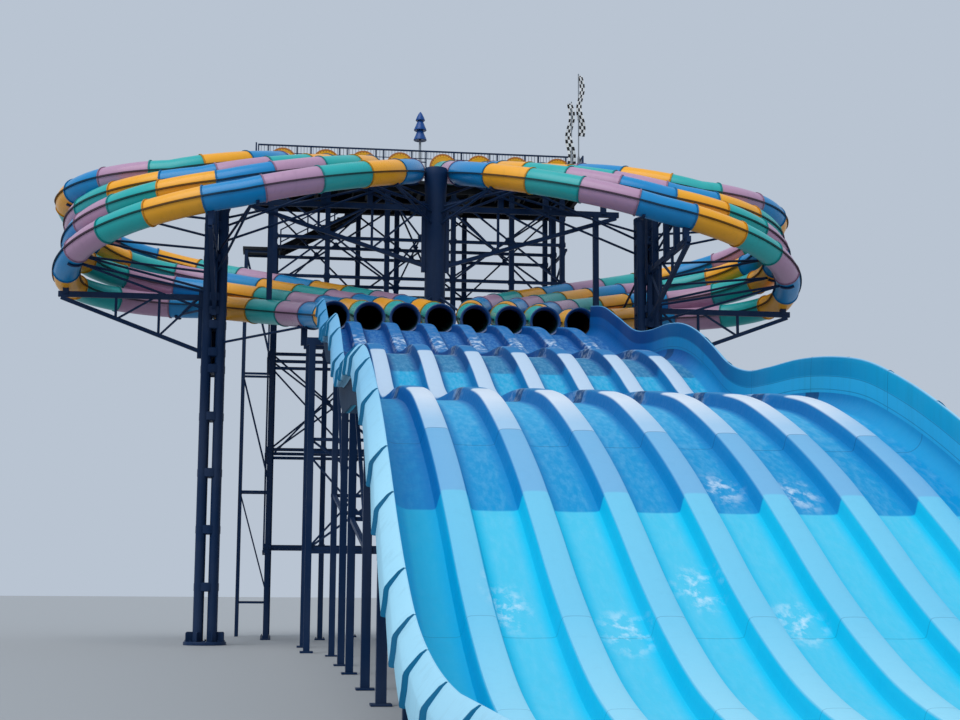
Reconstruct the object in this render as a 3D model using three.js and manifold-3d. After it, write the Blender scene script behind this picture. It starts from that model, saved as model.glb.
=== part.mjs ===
// Eight-lane mat-racer slide tower at 1:2 scale: a start platform on steel legs, eight closed
// tubes that each turn once round a steel column, and an eight-lane open racing bed that falls in drops.
// Every size below is a real size in metres; the group at the end scales it to model millimetres.
// X runs across the lanes, +Y runs uphill, Z is up from the lowest ground.
import * as THREE from "three";
import { mergeVertices } from "three/addons/utils/BufferGeometryUtils.js";
import Module from "manifold-3d";

const MODEL_SCALE = 1 / 2;
const MILLIMETRES = 1000 * MODEL_SCALE;
const GAP = 0.0007; // clearance between neighbouring pieces, 0.35 mm in the model

// Lanes: four tubes a side, counted outward from the centre at the start platform
const LANE_PITCH = 1.13;
const LANE_COUNT = 8;
const START_X = [0.88, 2.37, 3.88, 5.62];
const EXIT_X = [3.5, 2.5, 1.5, 0.5].map((lane) => lane * LANE_PITCH);
const OUTER_X = [13.2, 13.01, 13.05, 13.5]; // how far out each loop reaches
const BACK_RADIUS = [2.97, 3.19, 3.4, 3.7]; // the tighter turn at the outer end
const HOME_RADIUS = [12.38, 12.73, 13.26, 13.9]; // the wide turn that brings it back to its mouth
const START_Y = 13.2;
const MOUTH_STRAIGHT = 0.6;
const START_Z = 18.83;
const FRONT_Z = [14.77, 15.41, 15.87, 16.44];
const OUTER_Z = [12.88, 14.05, 15.0, 15.99];
const HOME_Z = [12.45, 13.11, 13.67, 14.25];
const MOUTH_Z = 10.5;

// Tubes and hoods
const TUBE_RADIUS = 0.445;
const TUBE_WALL = 0.035;
const TUBE_SIDES = 8;
const TUBE_CORNER_REACH = 1.025; // corners a little outside the circle, so the flats lie inside it
const SEAT_DEPTH = 0.7; // posts end this share of a radius below a tube's centre, before the cut
const HOOD_RADIUS = 0.5;
const HOOD_SPRING = 0.62; // height at which the arch leaves its straight sides
const HOOD_WALL = 0.05;
const HOOD_LENGTH = 1.2;

// Start platform
const DECK_HALF = 6.75;
const DECK_FRONT = START_Y + GAP;
const DECK_BACK = 17.8;
const DECK_TOP = START_Z - TUBE_RADIUS + TUBE_WALL;
const DECK_THICK = 0.12;
const BEAM_DEPTH = 0.3;
const BEAM_WIDTH = 0.16;
const CROSS_BEAM_X = [-6.6, -4.2, -2.1, 0, 2.1, 4.2, 6.6];
const LEG_WIDTH = 0.2;
const TIE_WIDTH = 0.12;
const SIDE_TIE_WIDTH = 0.1;
const BRACE_WIDTH = 0.07;
const FOOT_HEIGHT = 0.06;
const LEG_LEVELS = [16.0, 14.4, 11.2, 7.4, 3.6];
const FRONT_LEGS = { y: 13.45, x: [1.35, 3.75, 5.85] };
const MIDDLE_LEGS = { y: 15.5, x: [0.8, 5.85] };
const BACK_LEGS = { y: 17.6, x: [2.3, 5.85] };
const SIDE_DROP = 0.2; // the side ties run this far below those along the rows
const RAIL_HEIGHT = 1.35;
const HOOD_RAIL_HEIGHT = 1.65;
const RAIL_POST = 0.06;
const RAIL_BAR = 0.045;
const RAIL_INSET = 0.06;

// Stair at the back of the platform, on the left
const STAIR_TOP_X = -2.1;
const STAIR_FOOT_X = -5.6;
const STAIR_WIDTH = 1.2;
const STAIR_TREADS = 10;
const STAIR_RISE = 1.95;
const STAIR_HEAD = 1.5; // length of the opening in the railing at the stair's head
const STAIR_CLEARANCE = 0.08;
const TREAD_DEPTH = 0.3;
const LANDING_LENGTH = 1.6;
const LANDING_LEVELS = [11, 6, 1.4];

// Columns and their arms
const COIL_COLUMN = { x: 7.95, y: 7.44, radius: 0.44, top: 15.8 };
const CENTRE_COLUMN = { x: 0, y: 7.44, radius: 0.38, top: 17.41 };
const ARM_WIDTH = 0.14;
const ARM_TOP_DEPTH = 0.2;
const COLUMN_FOOT = 1.7; // the base flange and the cap, as shares of the shaft's radius
const COLUMN_CAP = 1.08;
const ARMS = {
  front_arm: { direction: [0, -1], reach: 6.2, level: 13.7, drop: 1.9, lanes: [0, 1, 2, 3] },
  outer_arm: { direction: [1, 0], reach: 5.5, level: 12.3, drop: 2.0, lanes: [0] },
  back_arm: { direction: [0, 1], reach: 6.1, level: 11.3, drop: 1.6, lanes: [0, 1, 2, 3] },
};
const CROSS_ARM = { direction: [1, 0], reach: 6.9, level: 15.9, drop: 2.2, lanes: [0, 1, 2, 3] };

// Frames across the ends of the tubes: place, height of the beam and how far out the inner posts are
const MOUTH_FRAME = { y: 0.15, level: 9.7, inner: 0 };
const RETURN_FRAME = { y: 5.0, level: 10.3, inner: 1.6 };
const FRAME_OUTER_POST = 4.6;
const FRAME_TIES = [6.6, 3.2];

// Racing bed: distance downhill from the mouths and height of the lane floor
const BED_PROFILE = [
  [0, 10.1], [2, 9.72], [4.2, 9.0], [6.3, 8.3], [8, 8.03], [10.2, 7.85], [11.6, 7.62],
  [12.9, 7.24], [14.2, 6.7], [15.6, 6.06], [17, 5.7], [18.4, 5.58], [20.5, 5.46], [22.5, 5.22],
  [24, 4.93], [25.3, 4.52], [26.6, 4.02], [28.1, 3.34], [29.5, 2.58], [30.9, 1.78], [32.2, 1.15],
  [33.5, 0.66], [35, 0.34], [37, 0.14], [42.5, 0.12],
];
const BED_SPLITS = [0, 10.2, 20.5, 32.2, 42.5];
const BED_NAMES = ["first_drop", "second_drop", "third_drop", "runout"];
const WALL_SPLITS = [0, 20.5, 42.5];
const WALL_NAMES = ["upper", "lower"];
const BED_THICK = 0.12;
const DIVIDER_HEIGHT = 0.25;
const DIVIDER_TOP = 0.29 * LANE_PITCH;
const DIVIDER_FOOT = 0.42 * LANE_PITCH;
const COVE = 0.3; // the hollow foot where the outer lanes rise to the walls
const WALL_HEIGHT = 0.98;
const WALL_LEAN = 0.03;
const WALL_THICK = 0.1;
// The rolled rim outside the wall's top edge, as steps out from the wall's inner face and heights
const RIM_PROFILE = [[0.23, 0.42], [0.26, 0.46], [0.22, 0.72], [0.09, 0.94]];
const BED_HALF = (LANE_COUNT / 2) * LANE_PITCH - DIVIDER_FOOT / 2;
const BED_FRAMES = { upper: [2.4, 8.4], middle: [12.6, 18.6], lower: [23, 28.4] };
const BED_FRAME_POST = 0.18;
const BED_BEAM_WIDTH = 0.16;
const BED_BEAM_DEPTH = 0.26;

// On the deck: the finial's place and outline, and the pennants
const FINIAL = { x: 0.16, y: 15.8 };
const FINIAL_OUTLINE = [
  [0, 0], [0.2, 0], [0.2, 0.05], [0.05, 0.06], [0.05, 2.42], [0.28, 2.42], [0.1, 2.84], [0.27, 2.86],
  [0.09, 3.27], [0.2, 3.29], [0.03, 3.65], [0, 3.7],
];
const PENNANTS = {
  left_pennant: { x: 6.23, y: 13.34, poleTop: 22.1, flagLow: 19.4, flagHigh: 22.0 },
  right_pennant: { x: 6.58, y: 13.6, poleTop: 23.4, flagLow: 20.7, flagHigh: 23.3 },
};
const PENNANT_ROWS = 9;
const PENNANT_SWAY = 0.13;
const PENNANT_HALF = 0.21;
const PENNANT_THICK = 0.04;

const WELD = 1e-5;
const wasm = await Module();
wasm.setup();

// Solids
function toSolid(geometry) {
  const bare = geometry.clone();
  bare.deleteAttribute("normal");
  bare.deleteAttribute("uv");
  const merged = mergeVertices(bare, WELD);
  const vertProperties = new Float32Array(merged.getAttribute("position").array);
  const triVerts = new Uint32Array(merged.getIndex().array);
  return new wasm.Manifold(new wasm.Mesh({ numProp: 3, vertProperties, triVerts }));
}

function toGeometry(solid) {
  const mesh = solid.getMesh();
  const geometry = new THREE.BufferGeometry();
  geometry.setAttribute("position", new THREE.BufferAttribute(mesh.vertProperties, 3));
  geometry.setIndex(new THREE.BufferAttribute(mesh.triVerts, 1));
  geometry.computeVertexNormals();
  return geometry;
}

function join(geometries) {
  return geometries.map(toSolid).reduce((whole, piece) => whole.add(piece));
}

function cutAway(solid, cutters) {
  return cutters.reduce((rest, cutter) => rest.subtract(cutter), solid);
}

// Shapes
function point(x, y, z) {
  return new THREE.Vector3(x, y, z);
}

function block(low, high) {
  const size = high.clone().sub(low);
  const middle = low.clone().add(high).multiplyScalar(0.5);
  return new THREE.BoxGeometry(size.x, size.y, size.z).translate(middle.x, middle.y, middle.z);
}

// A straight bar of rectangular section from one point to another
function bar(from, to, width = ARM_WIDTH, depth = width) {
  const along = to.clone().sub(from);
  const length = along.length();
  along.normalize();
  const upright = Math.abs(along.z) > 0.99;
  const level = new THREE.Vector3().crossVectors(along, point(0, 0, 1)).normalize();
  const side = upright ? point(1, 0, 0) : level;
  const up = new THREE.Vector3().crossVectors(side, along);
  const middle = from.clone().add(to).multiplyScalar(0.5);
  const placing = new THREE.Matrix4().makeBasis(side, along, up).setPosition(middle);
  return new THREE.BoxGeometry(width, length, depth).applyMatrix4(placing);
}

function post(x, y, low, high, width = ARM_WIDTH) {
  return block(point(x - width / 2, y - width / 2, low), point(x + width / 2, y + width / 2, high));
}

function drum(x, y, low, high, radius, sides = 16) {
  const upright = new THREE.CylinderGeometry(radius, radius, high - low, sides);
  return upright.rotateX(Math.PI / 2).translate(x, y, (low + high) / 2);
}

function ring(radius, sides) {
  const reach = radius * TUBE_CORNER_REACH;
  const corner = (index) => ((index + 0.5) * 2 * Math.PI) / sides;
  return Array.from({ length: sides }, (_, index) =>
    new THREE.Vector2(reach * Math.cos(corner(index)), reach * Math.sin(corner(index))));
}

// The centre line of one tube on the right: straight, a half turn round the front, a tight turn
// at the outer end, a wide turn home, and a short straight to the mouth
class TubePath extends THREE.Curve {
  constructor(lane) {
    super();
    const start = START_X[lane];
    const outer = OUTER_X[lane];
    const tight = BACK_RADIUS[lane];
    const wide = HOME_RADIUS[lane];
    const home = { x: EXIT_X[lane] + wide, y: MOUTH_STRAIGHT };
    const reach = home.x - outer + tight;
    const turnY = home.y + Math.sqrt((wide - tight) ** 2 - reach ** 2);
    const leave = Math.atan2(turnY - home.y, outer - tight - home.x);
    const first = (outer - start) / 2;
    const quarter = (first * Math.PI) / 2;
    const straightOut = (u) => [start, START_Y + (turnY - START_Y) * u];
    const straightHome = (u) => [EXIT_X[lane], MOUTH_STRAIGHT * (1 - u)];
    const frontIn = this.turn(start + first, turnY, first, Math.PI, 1.5 * Math.PI);
    const frontOut = this.turn(start + first, turnY, first, 1.5 * Math.PI, 2 * Math.PI);
    const turnBack = this.turn(outer - tight, turnY, tight, 0, leave);
    const turnHome = this.turn(home.x, home.y, wide, leave, Math.PI);
    this.parts = [
      { steps: 1, length: START_Y - turnY, at: straightOut },
      { steps: 5, length: quarter, at: frontIn },
      { steps: 5, length: quarter, at: frontOut },
      { steps: 5, length: tight * leave, at: turnBack },
      { steps: 4, length: wide * (Math.PI - leave), at: turnHome },
      { steps: 1, length: MOUTH_STRAIGHT, at: straightHome },
    ];
    const drop = HOME_Z[lane] - MOUTH_Z;
    const mouthTurnZ = MOUTH_Z + (drop * MOUTH_STRAIGHT) / (MOUTH_STRAIGHT + this.parts[4].length);
    const slope = (START_Z - FRONT_Z[lane]) / (this.parts[0].length + this.parts[1].length);
    this.heights = [START_Z, START_Z - slope * this.parts[0].length,
      FRONT_Z[lane], OUTER_Z[lane], HOME_Z[lane], mouthTurnZ, MOUTH_Z];
    this.steps = this.parts.reduce((sum, part) => sum + part.steps, 0);
  }

  turn(x, y, radius, from, to) {
    return (u) => {
      const angle = from + (to - from) * u;
      return [x + radius * Math.cos(angle), y + radius * Math.sin(angle)];
    };
  }

  getPoint(t, target = new THREE.Vector3()) {
    let step = Math.min(Math.max(t, 0), 1) * this.steps;
    let index = 0;
    while (index < this.parts.length - 1 && step > this.parts[index].steps) {
      step -= this.parts[index].steps;
      index += 1;
    }
    const part = this.parts[index];
    const u = step / part.steps;
    const [x, y] = part.at(u);
    return target.set(x, y, THREE.MathUtils.lerp(this.heights[index], this.heights[index + 1], u));
  }

  // Equal shares of t, not of length, so that the turns get more steps than the straights
  getPointAt(t, target) {
    return this.getPoint(t, target);
  }

  getTangentAt(t, target = new THREE.Vector3()) {
    if (t === 0 || t === 1) return target.set(0, -1, 0);
    const near = 1e-4;
    const ahead = this.getPoint(Math.min(t + near, 1));
    const behind = this.getPoint(Math.max(t - near, 0));
    return target.copy(ahead.sub(behind)).normalize();
  }
}

function tubeGeometry(path, outerRadius, innerRadius) {
  const section = new THREE.Shape(ring(outerRadius, TUBE_SIDES));
  if (innerRadius > 0) section.holes.push(new THREE.Path(ring(innerRadius, TUBE_SIDES)));
  const options = { steps: path.steps, extrudePath: path, bevelEnabled: false };
  return new THREE.ExtrudeGeometry(section, options);
}

// The same solid on the left: mirrored in X, with its faces turned back out
function mirrored(geometry) {
  const flipped = geometry.clone().scale(-1, 1, 1);
  const source = flipped.index ? flipped.toNonIndexed() : flipped;
  const position = source.getAttribute("position");
  for (let corner = 0; corner < position.count; corner += 3) {
    const second = new THREE.Vector3().fromBufferAttribute(position, corner + 1);
    const third = new THREE.Vector3().fromBufferAttribute(position, corner + 2);
    position.setXYZ(corner + 1, third.x, third.y, third.z);
    position.setXYZ(corner + 2, second.x, second.y, second.z);
  }
  return source;
}

const lanes = START_X.map((_, lane) => lane);
const paths = lanes.map((lane) => new TubePath(lane));
const tubeCores = paths.map((path) => tubeGeometry(path, TUBE_RADIUS + GAP, 0));
const tubeCutters = [...tubeCores, ...tubeCores.map(mirrored)].map(toSolid);

// Start hoods: an arch over the tube's upper end, standing on the deck
function hoodGeometry(x) {
  const arch = (radius) => {
    const outline = new THREE.Path();
    outline.moveTo(radius, 0);
    outline.lineTo(radius, HOOD_SPRING);
    outline.absarc(0, HOOD_SPRING, radius, 0, Math.PI, false);
    outline.lineTo(-radius, 0);
    return outline.getPoints(5);
  };
  const outer = arch(HOOD_RADIUS);
  const inner = arch(HOOD_RADIUS - HOOD_WALL).reverse();
  const section = new THREE.Shape([...outer, ...inner]);
  const body = new THREE.ExtrudeGeometry(section, { depth: HOOD_LENGTH, bevelEnabled: false });
  return body.rotateX(Math.PI / 2).translate(x, DECK_FRONT + HOOD_LENGTH, DECK_TOP + GAP);
}

// Platform
const stairY = DECK_BACK + STAIR_CLEARANCE + STAIR_WIDTH / 2;
const landingTop = DECK_TOP - STAIR_RISE;
const deckLow = DECK_TOP - DECK_THICK;
const beamTop = deckLow - GAP;
const beamLow = beamTop - BEAM_DEPTH;

function deck() {
  const main = block(point(-DECK_HALF, DECK_FRONT, deckLow), point(DECK_HALF, DECK_BACK, DECK_TOP));
  const head = block(point(STAIR_TOP_X + GAP, DECK_BACK - 0.2, deckLow),
    point(STAIR_TOP_X + STAIR_HEAD, stairY + STAIR_WIDTH / 2, DECK_TOP));
  return join([main, head]);
}

function deckBeams() {
  const rows = [FRONT_LEGS.y, MIDDLE_LEGS.y, BACK_LEGS.y];
  const half = BEAM_WIDTH / 2;
  const along = rows.map((y) =>
    block(point(-DECK_HALF, y - half, beamLow), point(DECK_HALF, y + half, beamTop)));
  const across = CROSS_BEAM_X.map((x) =>
    block(point(x - half, FRONT_LEGS.y, beamLow + 0.05), point(x + half, BACK_LEGS.y, beamTop - 0.04)));
  return join([...along, ...across]);
}

// One row of legs with its level ties and crossed braces
function legRow(row) {
  const xs = [...row.x.map((x) => -x).reverse(), ...row.x];
  const top = beamLow - GAP;
  const legs = xs.map((x) => post(x, row.y, FOOT_HEIGHT / 2, top, LEG_WIDTH));
  const feet = xs.map((x) => post(x, row.y, 0, FOOT_HEIGHT, 2 * LEG_WIDTH));
  const innermost = row.x[0];
  const outermost = row.x[row.x.length - 1];
  const ties = LEG_LEVELS.map((z) =>
    bar(point(-outermost, row.y, z), point(outermost, row.y, z), TIE_WIDTH));
  const spans = [[-outermost, -innermost], [-innermost, innermost], [innermost, outermost]];
  const heights = [[top - 0.1, LEG_LEVELS[1]], [LEG_LEVELS[2], LEG_LEVELS[3]]];
  const braces = heights.flatMap(([high, low]) => spans.flatMap(([from, to]) => [
    bar(point(from, row.y, high), point(to, row.y, low), BRACE_WIDTH),
    bar(point(from, row.y, low), point(to, row.y, high), BRACE_WIDTH),
  ]));
  return cutAway(join([...legs, ...feet, ...ties, ...braces]), tubeCutters);
}

// Ties and braces from the front row to the back row on one side
function sideBracing(side) {
  const from = FRONT_LEGS.y - LEG_WIDTH / 2;
  const to = BACK_LEGS.y + LEG_WIDTH / 2;
  const x = side * (FRONT_LEGS.x[2] + LEG_WIDTH / 2 + 0.05 + GAP);
  const levels = LEG_LEVELS.map((z) => z - SIDE_DROP);
  const ties = levels.map((z) => bar(point(x, from, z), point(x, to, z), SIDE_TIE_WIDTH));
  const braces = levels.slice(1).flatMap((foot, index) => {
    const top = levels[index];
    const near = from + LEG_WIDTH / 2;
    const far = to - LEG_WIDTH / 2;
    return [bar(point(x, near, top), point(x, far, foot), BRACE_WIDTH),
      bar(point(x, near, foot), point(x, far, top), BRACE_WIDTH)];
  });
  return join([...ties, ...braces]);
}

// A railing along a straight run between two plan points, with posts about every two metres
function railing(fromX, fromY, toX, toY) {
  const base = DECK_TOP + GAP;
  const from = point(fromX, fromY, base);
  const to = point(toX, toY, base);
  const count = Math.max(1, Math.round(from.distanceTo(to) / 2));
  const pieces = [];
  for (let index = 0; index <= count; index += 1) {
    const at = from.clone().lerp(to, index / count);
    pieces.push(post(at.x, at.y, base, base + RAIL_HEIGHT, RAIL_POST));
  }
  [0.12, 0.7, RAIL_HEIGHT - 0.03].forEach((rise) => {
    const lift = point(0, 0, rise);
    pieces.push(bar(from.clone().add(lift), to.clone().add(lift), RAIL_BAR));
  });
  return join(pieces);
}

// The railing along the hoods: a top rail over them all, with posts and lower rails only
// between neighbouring hoods, so that each way in stays open
function hoodRailing(y) {
  const base = DECK_TOP + GAP;
  const reach = HOOD_RADIUS + 0.08;
  const edge = DECK_HALF - 0.14;
  const centres = [...START_X.map((x) => -x).reverse(), ...START_X];
  const ends = [-edge, ...centres.flatMap((x) => [x - reach, x + reach]), edge];
  const top = base + HOOD_RAIL_HEIGHT - 0.03;
  const pieces = [bar(point(-edge - 0.02, y, top), point(edge + 0.02, y, top), RAIL_POST)];
  for (let index = 0; index < ends.length; index += 2) {
    [ends[index], ends[index + 1]].forEach((x) => {
      pieces.push(post(x, y, base, top + 0.01, RAIL_POST - 0.01));
    });
    [0.12, 0.65, 1.15].forEach((rise) => {
      pieces.push(bar(point(ends[index], y, base + rise), point(ends[index + 1], y, base + rise), 0.04));
    });
  }
  return join(pieces);
}

// Stair: two sloping strings and flat treads, with the landing at its foot
function stairFlight() {
  const half = STAIR_WIDTH / 2 - 0.03;
  const pieces = [-half, half].map((offset) =>
    bar(point(STAIR_FOOT_X, stairY + offset, landingTop - 0.05),
      point(STAIR_TOP_X, stairY + offset, DECK_TOP - 0.18), 0.06, 0.26));
  for (let tread = 1; tread <= STAIR_TREADS; tread += 1) {
    const u = tread / (STAIR_TREADS + 1);
    const x = STAIR_FOOT_X + (STAIR_TOP_X - STAIR_FOOT_X) * u;
    const z = landingTop + STAIR_RISE * u;
    const low = point(x - TREAD_DEPTH / 2, stairY - half, z - 0.04);
    pieces.push(block(low, point(x + TREAD_DEPTH / 2, stairY + half, z)));
  }
  const below = block(point(STAIR_FOOT_X - 1, DECK_BACK - 1, 0), point(STAIR_FOOT_X, DECK_BACK + 3, 20));
  const above = block(point(STAIR_TOP_X, DECK_BACK - 1, 0), point(STAIR_TOP_X + 1, DECK_BACK + 3, 20));
  return cutAway(join(pieces), [below, above].map(toSolid));
}

function landing() {
  const low = point(STAIR_FOOT_X - LANDING_LENGTH, stairY - STAIR_WIDTH / 2, landingTop - DECK_THICK);
  return block(low, point(STAIR_FOOT_X - GAP, stairY + STAIR_WIDTH / 2, landingTop));
}

function landingFrame() {
  const xs = [STAIR_FOOT_X - LANDING_LENGTH + 0.15, STAIR_FOOT_X - 0.15];
  const ys = [stairY - STAIR_WIDTH / 2 + 0.1, stairY + STAIR_WIDTH / 2 - 0.1];
  const top = landingTop - DECK_THICK - GAP;
  const pieces = xs.flatMap((x) => ys.map((y) => post(x, y, 0, top, 0.14)));
  const levels = [top - 0.07, ...LANDING_LEVELS];
  levels.forEach((z, index) => {
    ys.forEach((y) => pieces.push(bar(point(xs[0], y, z), point(xs[1], y, z), 0.09)));
    xs.forEach((x) => pieces.push(bar(point(x, ys[0], z), point(x, ys[1], z), 0.09)));
    if (index > 0) {
      const above = levels[index - 1];
      ys.forEach((y) => pieces.push(bar(point(xs[0], y, above), point(xs[1], y, z), 0.06)));
    }
  });
  return join(pieces);
}

function stairRails() {
  const y = stairY + STAIR_WIDTH / 2 + GAP + 0.03;
  const foot = point(STAIR_FOOT_X, y, landingTop);
  const head = point(STAIR_TOP_X, y, DECK_TOP);
  const pieces = [0.5, 1.05].map((rise) =>
    bar(foot.clone().add(point(0, 0, rise)), head.clone().add(point(0, 0, rise)), 0.05));
  for (let index = 0; index <= 3; index += 1) {
    const at = foot.clone().lerp(head, index / 3);
    pieces.push(post(at.x, at.y, at.z - 0.25, at.z + 1.07, 0.06));
  }
  return join(pieces);
}

// Columns
function column(spec, clearance = 0) {
  const { x, y, radius, top } = spec;
  const foot = drum(x, y, 0, 0.12, radius * COLUMN_FOOT, 12);
  const shaft = drum(x, y, 0.05, top - 0.05, radius + clearance);
  const cap = drum(x, y, top - 0.25 - clearance, top + clearance, radius * COLUMN_CAP + clearance);
  return join([foot, shaft, cap]);
}

// An arm from a column: a level top member, a sloping lower strut, web bars between them, and
// short posts up to the tubes that it carries; each post's head is cut to the tube it meets
function arm(spec, { direction, reach, level, drop, lanes: carried }) {
  const [unitX, unitY] = direction;
  const at = (distance, z) => point(spec.x + unitX * distance, spec.y + unitY * distance, z);
  const inner = spec.radius + GAP;
  const pieces = [bar(at(inner - 0.1, level), at(reach, level), ARM_WIDTH, ARM_TOP_DEPTH)];
  pieces.push(bar(at(inner - 0.1, level - drop), at(reach - 0.1, level - 0.12), ARM_WIDTH));
  pieces.push(bar(at(inner + 0.05, level - drop - 0.2), at(inner + 0.05, level + 0.25), 0.16));
  [0.3, 0.6].forEach((share) => {
    const distance = inner + (reach - inner) * share;
    const foot = level - drop + (drop - 0.12) * share;
    pieces.push(bar(at(distance, foot), at(distance, level), 0.09));
    const head = at(inner + (reach - inner) * (share - 0.28), level);
    pieces.push(bar(at(distance, foot), head, BRACE_WIDTH));
  });
  seats(spec, direction, reach, carried).forEach(({ distance, top }) => {
    pieces.push(bar(at(distance, level), at(distance, top), 0.2));
  });
  return cutAway(join(pieces), [column(spec, GAP), ...tubeCutters]);
}

// Where the arm's line in plan meets each tube, as a distance from the column and a seat height
function seats(spec, [unitX, unitY], reach, carried) {
  const samples = 1200;
  return carried.map((lane) => {
    let best = { off: Infinity };
    for (let index = 0; index <= samples; index += 1) {
      const at = paths[lane].getPoint(index / samples);
      const distance = (at.x - spec.x) * unitX + (at.y - spec.y) * unitY;
      const off = Math.abs((at.x - spec.x) * unitY - (at.y - spec.y) * unitX);
      const within = distance > 0.2 && distance < reach;
      if (within && off < best.off) best = { off, distance, top: at.z - TUBE_RADIUS * SEAT_DEPTH };
    }
    return best;
  });
}

// Frames under the ends of the tubes
function exitFrame({ y, level, inner }) {
  const outer = FRAME_OUTER_POST;
  const width = BED_HALF + 0.5;
  const pieces = [bar(point(-width, y, level), point(width, y, level), 0.18, 0.24)];
  [...new Set([-outer, 0 - inner, inner, outer])].forEach((x) => {
    pieces.push(post(x, y, FOOT_HEIGHT / 2, level, LEG_WIDTH));
    pieces.push(post(x, y, 0, FOOT_HEIGHT, 2 * LEG_WIDTH));
  });
  const [high, low] = FRAME_TIES;
  FRAME_TIES.forEach((z) => pieces.push(bar(point(-outer, y, z), point(outer, y, z), 0.1)));
  [-1, 1].forEach((side) => {
    pieces.push(bar(point(side * outer, y, high), point(side * inner, y, low), BRACE_WIDTH));
    pieces.push(bar(point(side * inner, y, high), point(side * outer, y, low), BRACE_WIDTH));
    lanes.forEach((lane) => {
      const seat = laneAcross(lane, y);
      pieces.push(post(side * seat.x, y, level, seat.z - TUBE_RADIUS * SEAT_DEPTH, 0.22));
    });
  });
  return cutAway(join(pieces), tubeCutters);
}

// A tube's centre on its way home, at one distance behind the mouths
function laneAcross(lane, y) {
  const samples = 600;
  let best = { off: Infinity };
  for (let index = Math.round(samples * 0.7); index <= samples; index += 1) {
    const at = paths[lane].getPoint(index / samples);
    const off = Math.abs(at.y - y);
    if (off < best.off) best = { off, at };
  }
  return best.at;
}

// Racing bed
function floorAt(distance) {
  const last = BED_PROFILE.length - 1;
  let index = 0;
  while (index < last - 1 && BED_PROFILE[index + 1][0] < distance) index += 1;
  const [fromD, fromZ] = BED_PROFILE[index];
  const [toD, toZ] = BED_PROFILE[index + 1];
  return fromZ + ((toZ - fromZ) * (distance - fromD)) / (toD - fromD);
}

function stations(from, to) {
  const distances = BED_PROFILE.map(([distance]) => distance);
  const inside = distances.filter((distance) => distance > from && distance < to);
  return [from + GAP, ...inside, to - GAP];
}

// A closed body whose X-Z outline rides down the bed's profile
function ridingBody(outline, from, to) {
  const rows = stations(from, to);
  const faces = THREE.ShapeUtils.triangulateShape(outline, []);
  const positions = [];
  const corner = (row, index) => {
    const distance = rows[row];
    const at = outline[index];
    return [at.x, -distance, floorAt(distance) + at.y];
  };
  const push = (...corners) => corners.forEach((each) => positions.push(...each));
  const count = outline.length;
  for (let row = 0; row + 1 < rows.length; row += 1) {
    for (let index = 0; index < count; index += 1) {
      const next = (index + 1) % count;
      push(corner(row, index), corner(row, next), corner(row + 1, next));
      push(corner(row, index), corner(row + 1, next), corner(row + 1, index));
    }
  }
  const last = rows.length - 1;
  faces.forEach(([a, b, c]) => {
    push(corner(0, a), corner(0, c), corner(0, b));
    push(corner(last, a), corner(last, b), corner(last, c));
  });
  const geometry = new THREE.BufferGeometry();
  geometry.setAttribute("position", new THREE.Float32BufferAttribute(positions, 3));
  return geometry;
}

// Section of the bed: flat lanes between flat-topped dividers
function bedOutline() {
  const half = BED_HALF - GAP;
  const outline = [
    new THREE.Vector2(-half, -BED_THICK),
    new THREE.Vector2(half, -BED_THICK),
    new THREE.Vector2(half, COVE),
    new THREE.Vector2(half - COVE * 0.3, COVE * 0.4),
    new THREE.Vector2(half - COVE, 0),
  ];
  for (let divider = LANE_COUNT - 1; divider >= 1; divider -= 1) {
    const x = (divider - LANE_COUNT / 2) * LANE_PITCH;
    outline.push(new THREE.Vector2(x + DIVIDER_FOOT / 2, 0));
    outline.push(new THREE.Vector2(x + DIVIDER_TOP / 2, DIVIDER_HEIGHT));
    outline.push(new THREE.Vector2(x - DIVIDER_TOP / 2, DIVIDER_HEIGHT));
    outline.push(new THREE.Vector2(x - DIVIDER_FOOT / 2, 0));
  }
  outline.push(new THREE.Vector2(-half + COVE, 0));
  outline.push(new THREE.Vector2(-half + COVE * 0.3, COVE * 0.4));
  outline.push(new THREE.Vector2(-half, COVE));
  return outline;
}

// Section of a side wall: nearly upright inside, with a rim rolled out and down from its top edge
function wallOutline(side) {
  const inner = BED_HALF + GAP;
  const crest = inner + WALL_LEAN;
  const corners = [
    [inner, -BED_THICK], [inner + WALL_THICK, -BED_THICK], [inner + WALL_THICK, RIM_PROFILE[0][1]],
    ...RIM_PROFILE.map(([out, z]) => [inner + out, z]),
    [crest + 0.02, WALL_HEIGHT], [crest, WALL_HEIGHT - 0.03], [inner, COVE],
  ].map(([x, z]) => new THREE.Vector2(side * x, z));
  return side > 0 ? corners : corners.reverse();
}

// Posts and beams under one length of the bed, down to the ground
function bedFrame(distances) {
  const pieces = [];
  const half = BED_HALF - 0.25;
  const seat = (distance) => floorAt(distance) - BED_THICK - GAP - 0.07;
  const postX = half - 0.1;
  distances.forEach((distance) => {
    const z = seat(distance);
    const beam = [-half, half].map((x) => point(x, -distance, z - 0.02));
    pieces.push(bar(...beam, BED_BEAM_WIDTH, BED_BEAM_DEPTH));
    [-postX, 0, postX].forEach((x) => {
      pieces.push(post(x, -distance, 0.02, z - 0.1, BED_FRAME_POST));
      pieces.push(post(x, -distance, 0, 0.04, 2 * BED_FRAME_POST));
    });
    pieces.push(bar(point(-half, -distance, z / 2), point(half, -distance, z / 2), 0.1));
  });
  const [from, to] = distances;
  [-postX, postX].forEach((x) => {
    pieces.push(bar(point(x, -from, seat(from) / 2), point(x, -to, seat(to) / 2), 0.1));
    pieces.push(bar(point(x, -from, seat(from) - 0.2), point(x, -to, seat(to) / 2), 0.08));
  });
  return cutAway(join(pieces), [toSolid(ridingBody(underClear(), from - 1, to + 1))]);
}

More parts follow.
